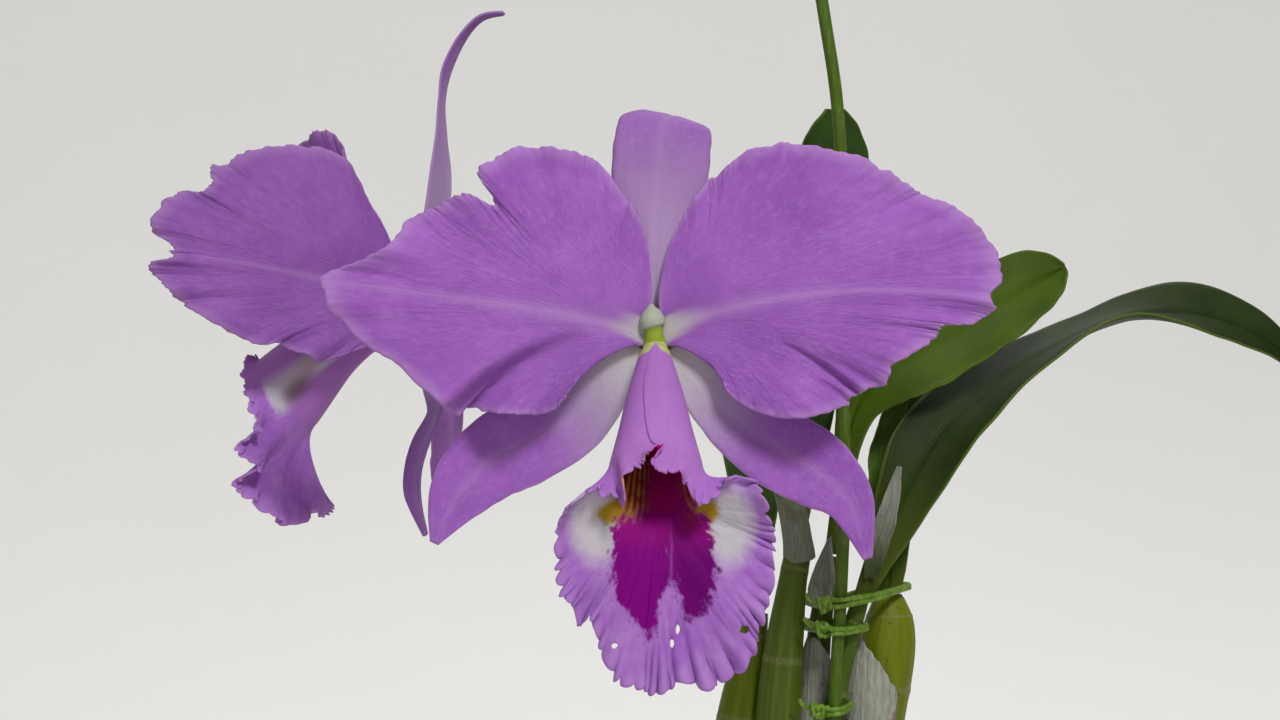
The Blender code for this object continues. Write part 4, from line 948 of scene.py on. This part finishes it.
def evened_at(points, t):
    """The place at t on the same curve with its notches and lobes evened out."""
    reach = min(NOTCH_REACH, t, 1 - t)
    near = [point_at(points, t + reach * share) for share in (-1.0, -0.5, 0.0, 0.5, 1.0)]
    return sum(near, Vector()) / len(near)


def fold_depth(fold, along, up):
    """How far a petal steps back below its fold line, which bows upwards, and comes forward above it."""
    (x1, z1), (x2, z2), depth, reach, softness, bow = fold
    length = hypot(x2 - x1, z2 - z1)
    dx, dz = (x2 - x1) / length, (z2 - z1) / length
    ahead = min(max(((along - x1) * dx + (up - z1) * dz) / length, 0.0), 1.0)
    above = (up - z1) * dx - (along - x1) * dz - bow * 4 * ahead * (1 - ahead)
    return depth * ahead ** 0.6 * tanh(above / softness) * exp(-abs(above) / reach)


def stirring(seed):
    """Smooth random values, in layers, along the share a of a margin. out moves on to other values."""
    return lambda frequency, a, layer, out=0.0: noise.noise(Vector((frequency * a, seed + out, layer)))


def petal(name, finish, stand, out, front, claw, margin, vein, arch, folds, rib, columns=440, rows=52):
    """A broad petal, its veins fanning from the claw to the margin.

    out and front are the ways that it reaches and faces, vein the way of its midrib, arch the rise of the
    other veins, and rib the place of the midrib's end, as a share of the margin.
    """
    centre = stand.translation
    up = front.cross(out).normalized()
    if up.z < 0:
        up = -up
    seed = len(margin) + out.x
    stir = stirring(seed)

    @cache
    def vein_ends(a):
        root = Vector(claw[0]).lerp(Vector(claw[1]), a)
        edge = point_at(margin, a)
        even = evened_at(margin, a)
        reach = VEIN_REACH * min(1.0, 0.3 + 8 * a)
        knee = root + Vector(vein) * reach * (even - root).length
        knee.z = (root.z + even.z) / 2 + arch
        ends = min(1.0, 9 * a, 9 * (1 - a))
        phase = 2 * pi * PETAL_CRIMPS * a + 5 * stir(14, a, 2)
        fine = 0.12 + 0.5 * max(0.0, stir(9, a, 3))
        scallop = 1.3 * stir(62, a, 0) + 1.5 * stir(30, a, 4) + 0.5 * stir(125, a, 7)
        scallop = ends * (scallop + fine * sin(phase))
        crimp = ends * (1.6 * stir(23, a, 5) + 1.3 * stir(56, a, 9))
        rolled = ends * fine * cos(phase)
        wave = ends * PETAL_WAVE_HEIGHT * sin(2 * pi * PETAL_WAVES * a + 2 * sin(9 * a))
        return root, knee, even, edge - even, scallop, crimp, rolled, wave

    def place(a, b):
        root, knee, even, notch, scallop, crimp, rolled, wave = vein_ends(round(a, 6))
        flat = root * (1 - b) ** 2 + knee * (2 * b * (1 - b)) + even * b ** 2 + notch * b ** 5
        flat += (even - root).normalized() * (scallop * b ** 24)
        forward = flat.z + wave * b ** 8 + crimp * b ** 12 + rolled * b ** 30
        forward += b * sum(fold_depth(fold, flat.x, flat.y) for fold in folds)
        forward += 1.1 * b * noise.noise(Vector((flat.x / 17, flat.y / 17, seed)))
        return centre + out * flat.x + up * flat.y + front * forward

    def midrib(a, b):
        width = 0.006 + 0.075 * (1 - b) ** 2.5
        return (0.9 - 0.55 * b) * exp(-(abs(a - rib) * (b + 0.12) / width) ** 1.5)

    made = blade(name + "_blade", columns, rows, place, PETAL_THICKNESS, finish, 0.35,
                 {"midrib": midrib}, 1.35)
    stands_for(made, name)


FACING = Vector((0.0, -1.0, 0.0))
petal("flower_1_left_petal", petal_lilac, FLOWER_1, Vector((-1.0, 0.0, 0.0)), FACING,
      [(0.8, 2.8, 0.3), (1.6, -4.4, 0.3)],
      [(1, 9.5, 1.5), (1.5, 19, 2), (3, 26, 2.5), (6, 31.5, 3), (12.5, 40, 4), (18.5, 44.5, 5),
       (29, 46, 6), (38.5, 44.5, 6.5), (44, 39, 7), (40.5, 33.5, 6.5), (41.5, 31.5, 6.5),
       (47.5, 34, 7), (55, 31, 7), (60.5, 29, 7), (67, 21, 7.5), (78, 16, 8), (83, 13, 8),
       (81, 4.5, 8), (72.5, -4, 7.5), (62.5, -10, 7), (51, -21.5, 6.5), (49, -19.5, 3.5),
       (42.5, -20.5, 5), (34.5, -21.5, 5.5), (26, -20.5, 4.5), (21.5, -15, 3.5), (17.5, -9.5, 2.5),
       (12.5, -5, 1.5), (7.5, -3.5, 0.8)],
      (0.95, 0.30, 0), 1.5, [((17, 0), (51, -19), 7.5, 8.0, 1.7, 3.0)], 0.575)
petal("flower_1_right_petal", petal_lilac, FLOWER_1, Vector((1.0, 0.0, 0.0)), FACING,
      [(0.4, 2.6, 0.3), (1.6, -4.4, 0.3)],
      [(1, 9.5, 1.5), (3.5, 21, 2), (7, 28.5, 2.5), (11.5, 35.5, 3), (16.5, 40, 3.5), (22.5, 44.5, 4.5),
       (32, 47, 5.5), (39.5, 46, 6), (52.5, 43, 6.5), (62.5, 37, 7), (68, 33.5, 7), (74.5, 31, 7.5),
       (82.5, 24, 8), (87, 14, 8), (84, 7.5, 8), (84.5, 4.5, 8), (79.5, 1.5, 7.5), (72.5, 1, 7.5),
       (69.5, -2.5, 7), (60.5, -8.5, 6.5), (58, -13.5, 6), (51, -16, 4), (47.5, -19, 4.5),
       (38, -22.5, 5), (26.5, -21, 4.5), (18.5, -16, 3), (16.5, -11, 2.5), (12, -6, 1.5), (7.5, -4, 0.8)],
      (0.90, 0.42, 0), 1.5,
      [((28, 0), (60, -15), 2.4, 9.0, 2.0, 1.0), ((32, -2.8), (54, -17.5), 2.2, 3.0, 0.3, 1.4)], 0.50)
petal("flower_2_right_petal", petal_lilac_painted_shade, FLOWER_2,
      Vector((-0.84, -0.543, 0.0)), Vector((-0.543, 0.84, 0.0)),
      [(1.9, 3, -3.1), (1.9, -3.5, -3.1)],
      [(5, 11, -1.5), (9.9, 18, -2.5), (15, 27.7, -2.5), (20, 36.8, -2), (27, 42.5, -1.5), (38, 44, -1),
       (49, 42.5, -0.5), (58, 38, 0), (62, 34.8, 0), (63.4, 30.5, 0), (67, 30.6, 0.5), (73, 28.6, 1),
       (78, 21.4, 2), (71, 16, 1.5), (72, 14, 1.5), (76.4, 11.5, 2), (75, 7, 2), (70, 2.6, 1.5),
       (65, -1.3, 1), (57, -6, 0.5), (48, -9.4, 0), (42, -9, 0), (36, -12, -1), (31, -14.4, -1.5),
       (24.4, -12.5, -2), (16.6, -9.5, -2.5), (9, -6, -3)],
      (0.93, 0.37, 0), -3.0, [((30, -4), (66, -2), 1.5, 8.0, 2.5, 0.0)], 0.53, 340, 44)
petal("flower_2_left_petal", petal_lilac_painted_shade, FLOWER_2,
      Vector((-0.80, 0.597, 0.06)).normalized(), Vector((-0.598, -0.801, 0.0)),
      [(2.6, 3, -3.1), (2.6, -3.5, -3.1)],
      [(6, 11, -1.5), (16, 20.5, -2.5), (24.5, 31.5, -2.5), (31, 40.5, -2), (34, 46.2, -1.5), (39.5, 50, -1),
       (48, 47.5, -0.5), (57, 42, 0), (65, 36.5, 0.5), (72, 29, 1), (76, 21, 1.5), (76.5, 12, 1.5),
       (72, 4, 1.5), (65, -1.3, 1), (57, -6, 0.5), (46, -10, 0), (36, -12, -1), (24.4, -12, -2),
       (16.6, -9.5, -2.5), (9, -6, -3)],
      (0.93, 0.37, 0), -2.0, [((30, -4), (66, -2), 1.5, 8.0, 2.5, 0.0)], 0.58, 260, 36)


# The column: the flower's waxy white centre, one rod in place of stamens and style. Its foot shows above the
# lip as a pale dome with a yellow-green patch under it, and the rest lies inside the lip.
COLUMNS = {
    "flower_1": (FLOWER_1, [
        (-0.9, -1.9, 6.6, 0.4), (-0.9, -1.9, 5.7, 1.2), (-0.8, -1.9, 4.5, 2.4), (-0.7, -1.9, 2.8, 3.2),
        (-0.6, -1.9, 1.2, 3.1), (-0.4, -1.9, 0.2, 2.3), (-0.2, -1.9, -1.8, 2.4), (0, -2.2, -4.6, 3.2),
        (0, -7, -10.6, 2.9), (0, -13.5, -16.4, 3.7), (0, -20, -21.5, 4.0), (0, -24, -24.5, 3.0),
        (0, -25, -25.3, 1.5)]),
    "flower_2": (FLOWER_2, [
        (0, -1.9, 6.6, 0.4), (0, -1.9, 5.7, 1.2), (0, -1.9, 4.5, 2.4), (0, -2.0, 2.8, 3.2),
        (0, -2.5, 1.0, 2.9), (0, -3.6, -1.0, 2.2), (0, -5.2, -2.3, 2.4), (0, -9.5, -4.3, 2.9),
        (0, -13, -5.3, 3.3), (0, -16, -6.2, 3.6), (0, -22, -9, 3.9), (0, -26, -11.5, 2.8),
        (0, -27.2, -12.3, 1.4)]),
}
COLUMN_WHITE = (0.33, 0.355, 0.28, 1)
COLUMN_LEMON = (0.22, 0.29, 0.02, 1)
COLUMN_CREAM = (0.46, 0.47, 0.22, 1)
wax, place = new_finish("column_wax", Subsurface_Weight=0.15, Subsurface_Scale=0.002,
                        Specular_IOR_Level=0.2)
_, along, _ = place.mapped("stem")
grain = place.clouds(1.1, 3, 0.6)
colour = along.grown(0.37, 0.41).tint(COLUMN_WHITE, COLUMN_LEMON)
colour = along.grown(0.55, 0.6).tint(colour, COLUMN_CREAM)
wear(wax, colour, grain * 0.2 + 0.42, grain, 0.15)
for name, (stand, points) in COLUMNS.items():
    bm = bmesh.new()
    sweep(bm, placed(stand, points), 110, 48, (0.3, 0, 1), lambda a, turn: 1 - 0.06 * abs(sin(turn)) ** 5)
    shown(name + "_column_wax", bm, wax, "column_wax", name + "_column")


# The lip: the third petal, rolled into a tube round the column with one margin lapped over the other. Its
# mouth opens into a broad lobe with a frilled edge. A magenta blotch runs out of the veined yellow throat,
# between two cream patches.
LIP_THICKNESS = 0.6
LIP_TUBE_SHARE = 0.42
LIP_SEAM = radians(177.0)
LIP_LAP = radians(25.0)
LIP_WAVES = 8
LIP_WAVE_HEIGHT = 2.2
LIP_RUFFLES = 34
LIP_FRILLS = 80
LOBE_FRONT = -30.0
HOLE_RIM = 2.2
PLANE = 100.0
TUBE_LILAC = (0.36, 0.150, 0.45, 1)
LIP_LILAC = (0.285, 0.098, 0.43, 1)
LIP_LILAC_PALE = (0.385, 0.20, 0.50, 1)
MAGENTA = (0.170, 0.0006, 0.165, 1)
MAGENTA_DARK = (0.115, 0.0004, 0.120, 1)
MAGENTA_RED = (0.225, 0.0015, 0.150, 1)
# The throat's magenta, and the gold and maroon below, are its own colours made brighter: painted light for
# the throat inside the tube, which lies in shade.
THROAT_MAGENTA_WITH_PAINTED_LIGHT = (0.34, 0.003, 0.150, 1)
CREAM = (0.46, 0.44, 0.465, 1)
YELLOW = (0.32, 0.20, 0.012, 1)
THROAT_GOLD_WITH_PAINTED_LIGHT = (0.62, 0.30, 0.030, 1)
MAROON = (0.17, 0.008, 0.022, 1)
BROWN_MARK = (0.13, 0.055, 0.070, 1)
LIP_BASE_LEMON = (0.42, 0.44, 0.16, 1)


def spot(x, z, at_x, at_z, reach_x, reach_z, lean=0.0):
    """How deep a point lies in an oval spot: 1 at its middle, 0 at its edge. lean shears it to one side."""
    across = (x - at_x - (z - at_z) * lean) * (1 / reach_x)
    down = (z - at_z) * (1 / reach_z)
    return 1 - (across * across + down * down).math("SQRT")


def lip_skin(name):
    """The lip's lilac skin, before its pattern, and the wires that the pattern is drawn with."""
    made, place = new_finish(name, Subsurface_Weight=0.12, Subsurface_Scale=0.002, Specular_IOR_Level=0.05)
    where, across, along = place.mapped("blade")
    streaks = where.noise(1.0, 3.0, 0.5, (110.0, 16.0, 1.0))
    sparkle = place.clouds(0.35, 2, 0.6)
    flush = place.clouds(11, 3, 0.6)
    colour = (flush * 0.7 + streaks * 0.4).grown(0.35, 0.85).tint(LIP_LILAC, LIP_LILAC_PALE)
    colour = (along.grown(0.955, 1.0) * 0.5).tint(colour, LIP_LILAC_PALE)
    relief = streaks * 1.2 * along.grown(0.3, 0.6) + sparkle * 0.4 + flush * 0.6
    return made, place, across, along, streaks, sparkle, relief, colour


lip_inside, place, across, along, streaks, sparkle, relief, colour = lip_skin("lip_inside")
x = place.carried("plane_x") * PLANE
z = place.carried("plane_z") * PLANE
fray = (streaks - 0.5) * 0.6 + (place.clouds(3, 3, 0.6) - 0.5) * 0.9
cream = spot(x, z, -14, -46.5, 9, 13).most(spot(x, z, 17, -47, 9, 13))
colour = ((cream + fray * 0.25).grown(0.0, 0.6) * 0.95).tint(colour, CREAM)
yellow = spot(x, z, -8.6, -43.6, 6.4, 3.8, 0.3).most(spot(x, z, 12, -43.5, 4.2, 4.2) * 0.7)
colour = (yellow + fray * 0.3).grown(0.0, 0.4).tint(colour, YELLOW)
blotch = spot(x, z, -2.6, -57, 8.4, 16, -0.06).most(spot(x, z, 8.0, -56, 6.8, 14))
blotch = blotch.math("MINIMUM", spot(x, z, 3.7, -74.5, 3.4, 12.5) * -0.9)
blotch = blotch.most(spot(x, z, 2.0, -42, 9, 11))
magenta = (x * 0.07 + place.clouds(4, 3, 0.6)).grown(0.45, 1.1).tint(MAGENTA, MAGENTA_DARK)
magenta = z.grown(-56.0, -46.0).tint(magenta, MAGENTA_RED)
colour = (blotch + fray).grown(-0.06, 0.2).tint(colour, magenta)
spine = abs(x - 3.7 + (place.clouds(7) - 0.5) * 2).grown(0.6, 0.0) * z.grown(-43.0, -56.0)
colour = (spine * 0.35).tint(colour, LIP_LILAC)
# A painted shadow: a dark maroon spot near the top of the blotch.
painted_shadow_spot = spot(x, z, 8.1, -45.6, 3.2, 4.0)
colour = (painted_shadow_spot.grown(0.0, 0.8) * 0.6).tint(colour, MAROON)
wander = across + (place.clouds(12) - 0.5) * 0.02
flanks = x.grown(0.0, -5.0) + x.grown(5.0, 8.5) * 0.7
throat = wander.ridges(34, 1.3) * place.clouds(5).grown(0.3, 0.55) * flanks
# The throat's stripes use the brightened colours: painted light in the shaded throat.
stripes = throat.tint(flanks.tint(THROAT_MAGENTA_WITH_PAINTED_LIGHT, MAROON), THROAT_GOLD_WITH_PAINTED_LIGHT)
middle = abs(x - 0.8).grown(10.5, 8.0)
inwards = (z + fray * 5 + flanks * 4).grown(-44.0, -36.5) * middle
colour = inwards.most(along.grown(0.5, 0.44)).tint(colour, stripes)
wear(lip_inside, colour, sparkle * 0.2 + 0.4, relief, 0.22)

lip_outside, place, across, along, streaks, sparkle, relief, colour = lip_skin("lip_outside")
side = abs(across * 2 - 1)
on_tube = along.grown(0.5, 0.4).most(side.grown(0.62, 0.8))
colour = on_tube.tint(colour, TUBE_LILAC)
colour = (streaks.grown(0.4, 0.7) * on_tube * 0.25).tint(colour, LIP_LILAC)
white = spot(side, along, 0.60, 0.47, 0.17, 0.17)
colour = ((white + (streaks - 0.5) * 0.3).grown(0.0, 0.7) * 0.95).tint(colour, CREAM)
# A painted highlight: a cream stroke along the tube's flank, where light falls on it.
colour = (spot(side, along, 0.54, 0.27, 0.07, 0.14).grown(0.0, 0.7) * 0.8).tint(colour, CREAM)
colour = (spot(side, along, 0.54, 0.38, 0.10, 0.06).grown(0.0, 0.9) * 0.7).tint(colour, BROWN_MARK)
flank = abs(across - 0.815).grown(0.05, 0.0) * along.grown(0.42, 0.3)
colour = (flank * 0.6).tint(colour, LIP_BASE_LEMON)
base = (along - ((1 - side) * 0.6).math("MINIMUM", 0.055)).grown(0.004, -0.006)
colour = base.tint(colour, LIP_BASE_LEMON)
wear(lip_outside, colour, sparkle * 0.2 + 0.4, relief, 0.22)


def roofward(side):
    """How far a share of the lip's width, -1 to 1, belongs to the flaps that roof the tube's mouth."""
    return min(max((abs(side) - 0.72) / 0.2, 0.0), 1.0)


def lip(name, stand, rings, margin, gestures, holes, ruffled=1.0, lobe_scale=1.0, columns=680, rows=64):
    """The lip: rings hold its tube's (y, z, radius), and margin runs from the left seam round the lobe.

    A gesture (a, width, shift) pulls the margin aside near a, where it rolls over or hangs down. holes are
    ovals (x, z, half width, half height), seen from the front. The pattern is drawn for a lobe_scale of 1,
    and a shorter lobe has a larger one.
    """
    centres = [(0.0, y, z, radius) for y, z, radius in rings]
    stir = stirring(len(margin) + rings[0][0])

    @cache
    def ring(v):
        x, y, z, radius = curve_at(centres, v)
        axis = direction_at(centres, v)
        return Vector((0.0, y, z)), Vector((0.0, axis.z, -axis.y)), radius

    def ring_at(v, side):
        middle, roof, radius = ring(round(v, 6))
        turn = LIP_SEAM * abs(side) ** 1.5
        near_seam = max(0.0, abs(side) - 0.7) / 0.3
        lap = LIP_LAP * sin(pi * 0.85 * v ** 0.7) * near_seam ** 2
        if side > 0:
            turn += lap
            radius += 0.3 * near_seam
        else:
            turn = -turn - 0.5 * lap
            radius -= 0.25 * near_seam
        flat = 1 - 0.15 * v * v * max(0.0, -cos(turn))
        return middle + Vector((sin(turn) * radius, 0.0, 0.0)) - roof * (cos(turn) * radius * flat)

    @cache
    def edge_at(a):
        lobe = max(0.0, 1 - abs(2 * a - 1) / 0.8) ** 0.5
        ends = min(1.0, 25 * a, 25 * (1 - a))
        wave = lobe * LIP_WAVE_HEIGHT * sin(2 * pi * LIP_WAVES * a + 2.5 * sin(7 * a))
        wide = 2 * pi * LIP_RUFFLES * a + 7 * stir(10, a, 1)
        close = 2 * pi * LIP_FRILLS * a + 9 * stir(22, a, 4)
        calm = (1 - 0.7 * roofward(2 * a - 1)) * ruffled
        ruffle = calm * ends * ((1.3 + 2.0 * stir(11, a, 3)) * sin(wide) + 2.6 * stir(26, a, 6))
        frill = calm * ends * (1.1 + 1.8 * stir(23, a, 5)) * sin(close)
        bump = (1.4 + 1.8 * stir(17, a, 8)) * (abs(sin(close / 2)) ** 0.7 - 0.6)
        scallop = calm * ends * (bump + 1.8 * stir(30, a, 7) + 0.9 * stir(110, a, 9))
        pull = sum((Vector(shift) * exp(-((a - at) / width) ** 2) for at, width, shift in gestures), Vector())
        curl = direction_at(margin, a) * (calm * ends * (0.9 * cos(wide) + 0.35 * cos(close)))
        return point_at(margin, a), wave, ruffle, frill, scallop, pull, curl

    def inner(a, b):
        side = 2 * a - 1
        if b < LIP_TUBE_SHARE:
            return ring_at(b / LIP_TUBE_SHARE, side)
        out = (b - LIP_TUBE_SHARE) / (1 - LIP_TUBE_SHARE)
        root = ring_at(1.0, side)
        edge, wave, ruffle, frill, scallop, pull, curl = edge_at(round(a, 6))
        knee = root + direction_at(centres, 1.0) * (0.35 * (edge - root).length)
        flared = root * (1 - out) ** 2 + knee * (2 * out * (1 - out)) + edge * out ** 2
        flared += (edge - root).normalized() * (scallop * out ** 16) + pull * out ** 2.5 + curl * out ** 12
        low = exp(-((a - 0.58) / 0.17) ** 2)
        crease = 1.6 * stir(17, a, 20, 1.5 * out) * out * out
        crease += 0.8 * low * max(0.0, 1 - 7 * abs(stir(27, a, 30, 0.6 * out))) * out * out
        back = Vector((0.0, 1.0, 0.0)).lerp(Vector((0.0, 0.5, -0.85)), roofward(side))
        roll = 1.8 * roofward(side) * out ** 6
        return flared + back * (wave * out ** 3 + ruffle * out ** 11 + frill * out ** 17 + crease - roll)

    made = blade(
        name + "_blade", columns, rows, lambda a, b: stand @ inner(a, b), LIP_THICKNESS, lip_outside, 0.4,
        {"plane_x": lambda a, b: inner(a, b).x / PLANE,
         "plane_z": lambda a, b: inner(a, b).z * lobe_scale / PLANE}, 1.25)
    made.data.materials.append(lip_inside)
    made.modifiers["Thickness"].material_offset = 1
    bm = bmesh.new()
    bm.from_mesh(made.data)
    turned_back = stand.inverted()

    def in_flower(point):
        return turned_back @ (point / MM)

    def share_from(at, hole):
        """How far a place lies from a hole's middle, as a share of the hole's half size."""
        x, z, half_width, half_height = hole
        return hypot((at.x - x) / half_width, (at.z - z) / half_height) if at.y < LOBE_FRONT else HOLE_RIM

    gone = []
    for face in bm.faces:
        middle = in_flower(face.calc_center_median())
        if any(share_from(middle, hole) < 1 for hole in holes):
            gone.append(face)
    bmesh.ops.delete(bm, geom=gone, context="FACES")
    for vert in [vert for vert in bm.verts if vert.is_boundary]:
        at = in_flower(vert.co)
        for hole in holes:
            x, z, *_ = hole
            far = share_from(at, hole)
            if far < HOLE_RIM:
                even = Vector((x + (at.x - x) / far, at.y, z + (at.z - z) / far))
                vert.co = stand @ even * MM
    bm.to_mesh(made.data)
    bm.free()
    stands_for(made, name)


lip("flower_1_lip", FLOWER_1,
    [(-2.4, -5.8, 3.4), (-8, -11.5, 5.2), (-16, -18.5, 7.2), (-26, -26, 8.9), (-37, -33.6, 10.9)],
    [(0.4, -45, -28.6), (-2.1, -46.3, -30.5), (-4.0, -46, -33.1), (-9.6, -45, -33.7), (-11, -42, -37.5),
     (-15.5, -42, -38), (-20.5, -42, -42), (-23.5, -40, -46), (-24, -38, -52), (-22.5, -37, -60),
     (-20.5, -37, -65),
     (-18.5, -37, -71), (-15.5, -39, -69.5), (-13, -38, -77.5), (-7, -36, -84.5), (0, -36, -86.5),
     (6, -36.5, -84.5), (14.5, -36, -84.5), (21.5, -36, -80.5), (25, -36, -71), (28.5, -36, -61.5),
     (28, -38, -52.5), (28, -40, -47), (24.5, -42, -38.5), (20, -43, -35), (14.5, -43, -37.5),
     (9.5, -44, -36.8), (5.3, -46, -34.6), (1.4, -46.5, -34.6), (-1.1, -46.5, -32.9), (1.9, -46, -28.7)],
    [(0.118, 0.026, (3.2, -3.5, -4.2)), (0.858, 0.022, (-1.0, -3.5, -4.8))],
    [(5.2, -71.6, 0.6, 1.2), (3.8, -75.0, 0.6, 1.1), (21.0, -71.6, 1.4, 1.0), (-9.8, -75.4, 0.9, 0.7)])
lip("flower_2_lip", FLOWER_2,
    [(-5.2, -2.6, 3.6), (-10, -4.6, 4.8), (-17, -6.5, 6.4), (-27, -12, 9.5), (-38, -22, 12.5)],
    [(-0.8, -46, -13.5), (-7, -47, -15), (-13, -46.5, -19), (-20, -44, -25), (-25, -40.5, -32),
     (-26, -41, -40), (-24, -41, -48), (-18, -37, -56), (-9, -30, -58), (0, -25, -53.5), (9, -30, -58),
     (17, -36.5, -57.5), (22, -40.5, -52), (24, -43, -47), (25, -40, -42.5), (25, -42.5, -38),
     (24, -39.5, -33),
     (20, -42, -26), (13, -45.5, -19), (7, -46.5, -15), (1.6, -46, -13.5)],
    [], [], 0.6, 1.45, 440, 48)


# The room: a pale floor that rises into a wall all round, a key light from above and in front, a soft one
# that fills its shadows, one from behind, one on the wall, and the camera at the photograph's angle.
LIGHTS = (
    ("key", (270, -700, 660), (0, 0, 0), 260, 8.7),
    ("fill", (-250, -1100, 60), (0, 0, 0), 900, 1.8),
    ("back", (300, 1000, 1100), (0, 0, 0), 1000, 4.0),
    ("wall", (0, 700, 1500), (0, 2700, 0), 1500, 24.0))
SKY = (0.93, 0.95, 1.0, 1)
SKY_STRENGTH = 0.2
CAMERA_BACK = 600.0
CAMERA_SIDE = -3.8
CAMERA_DROP = -7.6
PHOTO_WIDTH = 1280.0
FOCAL_PIXELS = 2365.0
SENSOR = 36.0
FLOOR_PALE = (0.80, 0.79, 0.77, 1)
FLOOR_PALER = (0.84, 0.83, 0.81, 1)
FLOOR_PROFILE = [
    (0, 0), (900, 0), (1500, 60), (2100, 300), (2600, 800), (2900, 1500), (3000, 2300), (3000, 3000)]
floor_finish, place = new_finish("studio_floor", Roughness=0.9)
wear(floor_finish, place.clouds(400, 2).tint(FLOOR_PALE, FLOOR_PALER))
bm = turned(FLOOR_PROFILE, 64)
bmesh.ops.reverse_faces(bm, faces=bm.faces)
floor = finished("studio_floor", bm, floor_finish)
round_off = floor.modifiers.new("Round", "SUBSURF")
round_off.levels = 2
round_off.render_levels = 2

bloom = FLOWER_1.translation
for name, stands_at, aims_at, size, power in LIGHTS:
    lamp = bpy.data.lights.new(name, "AREA")
    lamp.shape = "DISK"
    lamp.size = size * MM
    lamp.energy = power
    light = bpy.data.objects.new(name, lamp)
    light.location = (Vector(stands_at) + bloom) * MM
    light.rotation_euler = (Vector(aims_at) - Vector(stands_at)).to_track_quat("-Z", "Y").to_euler()
    light.visible_camera = False
    bpy.context.scene.collection.objects.link(light)
world = bpy.data.worlds.new("studio")
world.use_nodes = True
sky = world.node_tree.nodes["Background"]
sky.inputs["Color"].default_value = SKY
sky.inputs["Strength"].default_value = SKY_STRENGTH
bpy.context.scene.world = world
bpy.context.scene.view_settings.view_transform = "Standard"

camera_data = bpy.data.cameras.new("camera")
camera_data.sensor_width = SENSOR
camera_data.lens = SENSOR * FOCAL_PIXELS / PHOTO_WIDTH
camera_data.clip_start = 0.01
camera = bpy.data.objects.new("camera", camera_data)
camera.location = (bloom + Vector((CAMERA_SIDE, -CAMERA_BACK, CAMERA_DROP))) * MM
camera.rotation_euler = (radians(90), 0, 0)
bpy.context.scene.collection.objects.link(camera)
bpy.context.scene.camera = camera
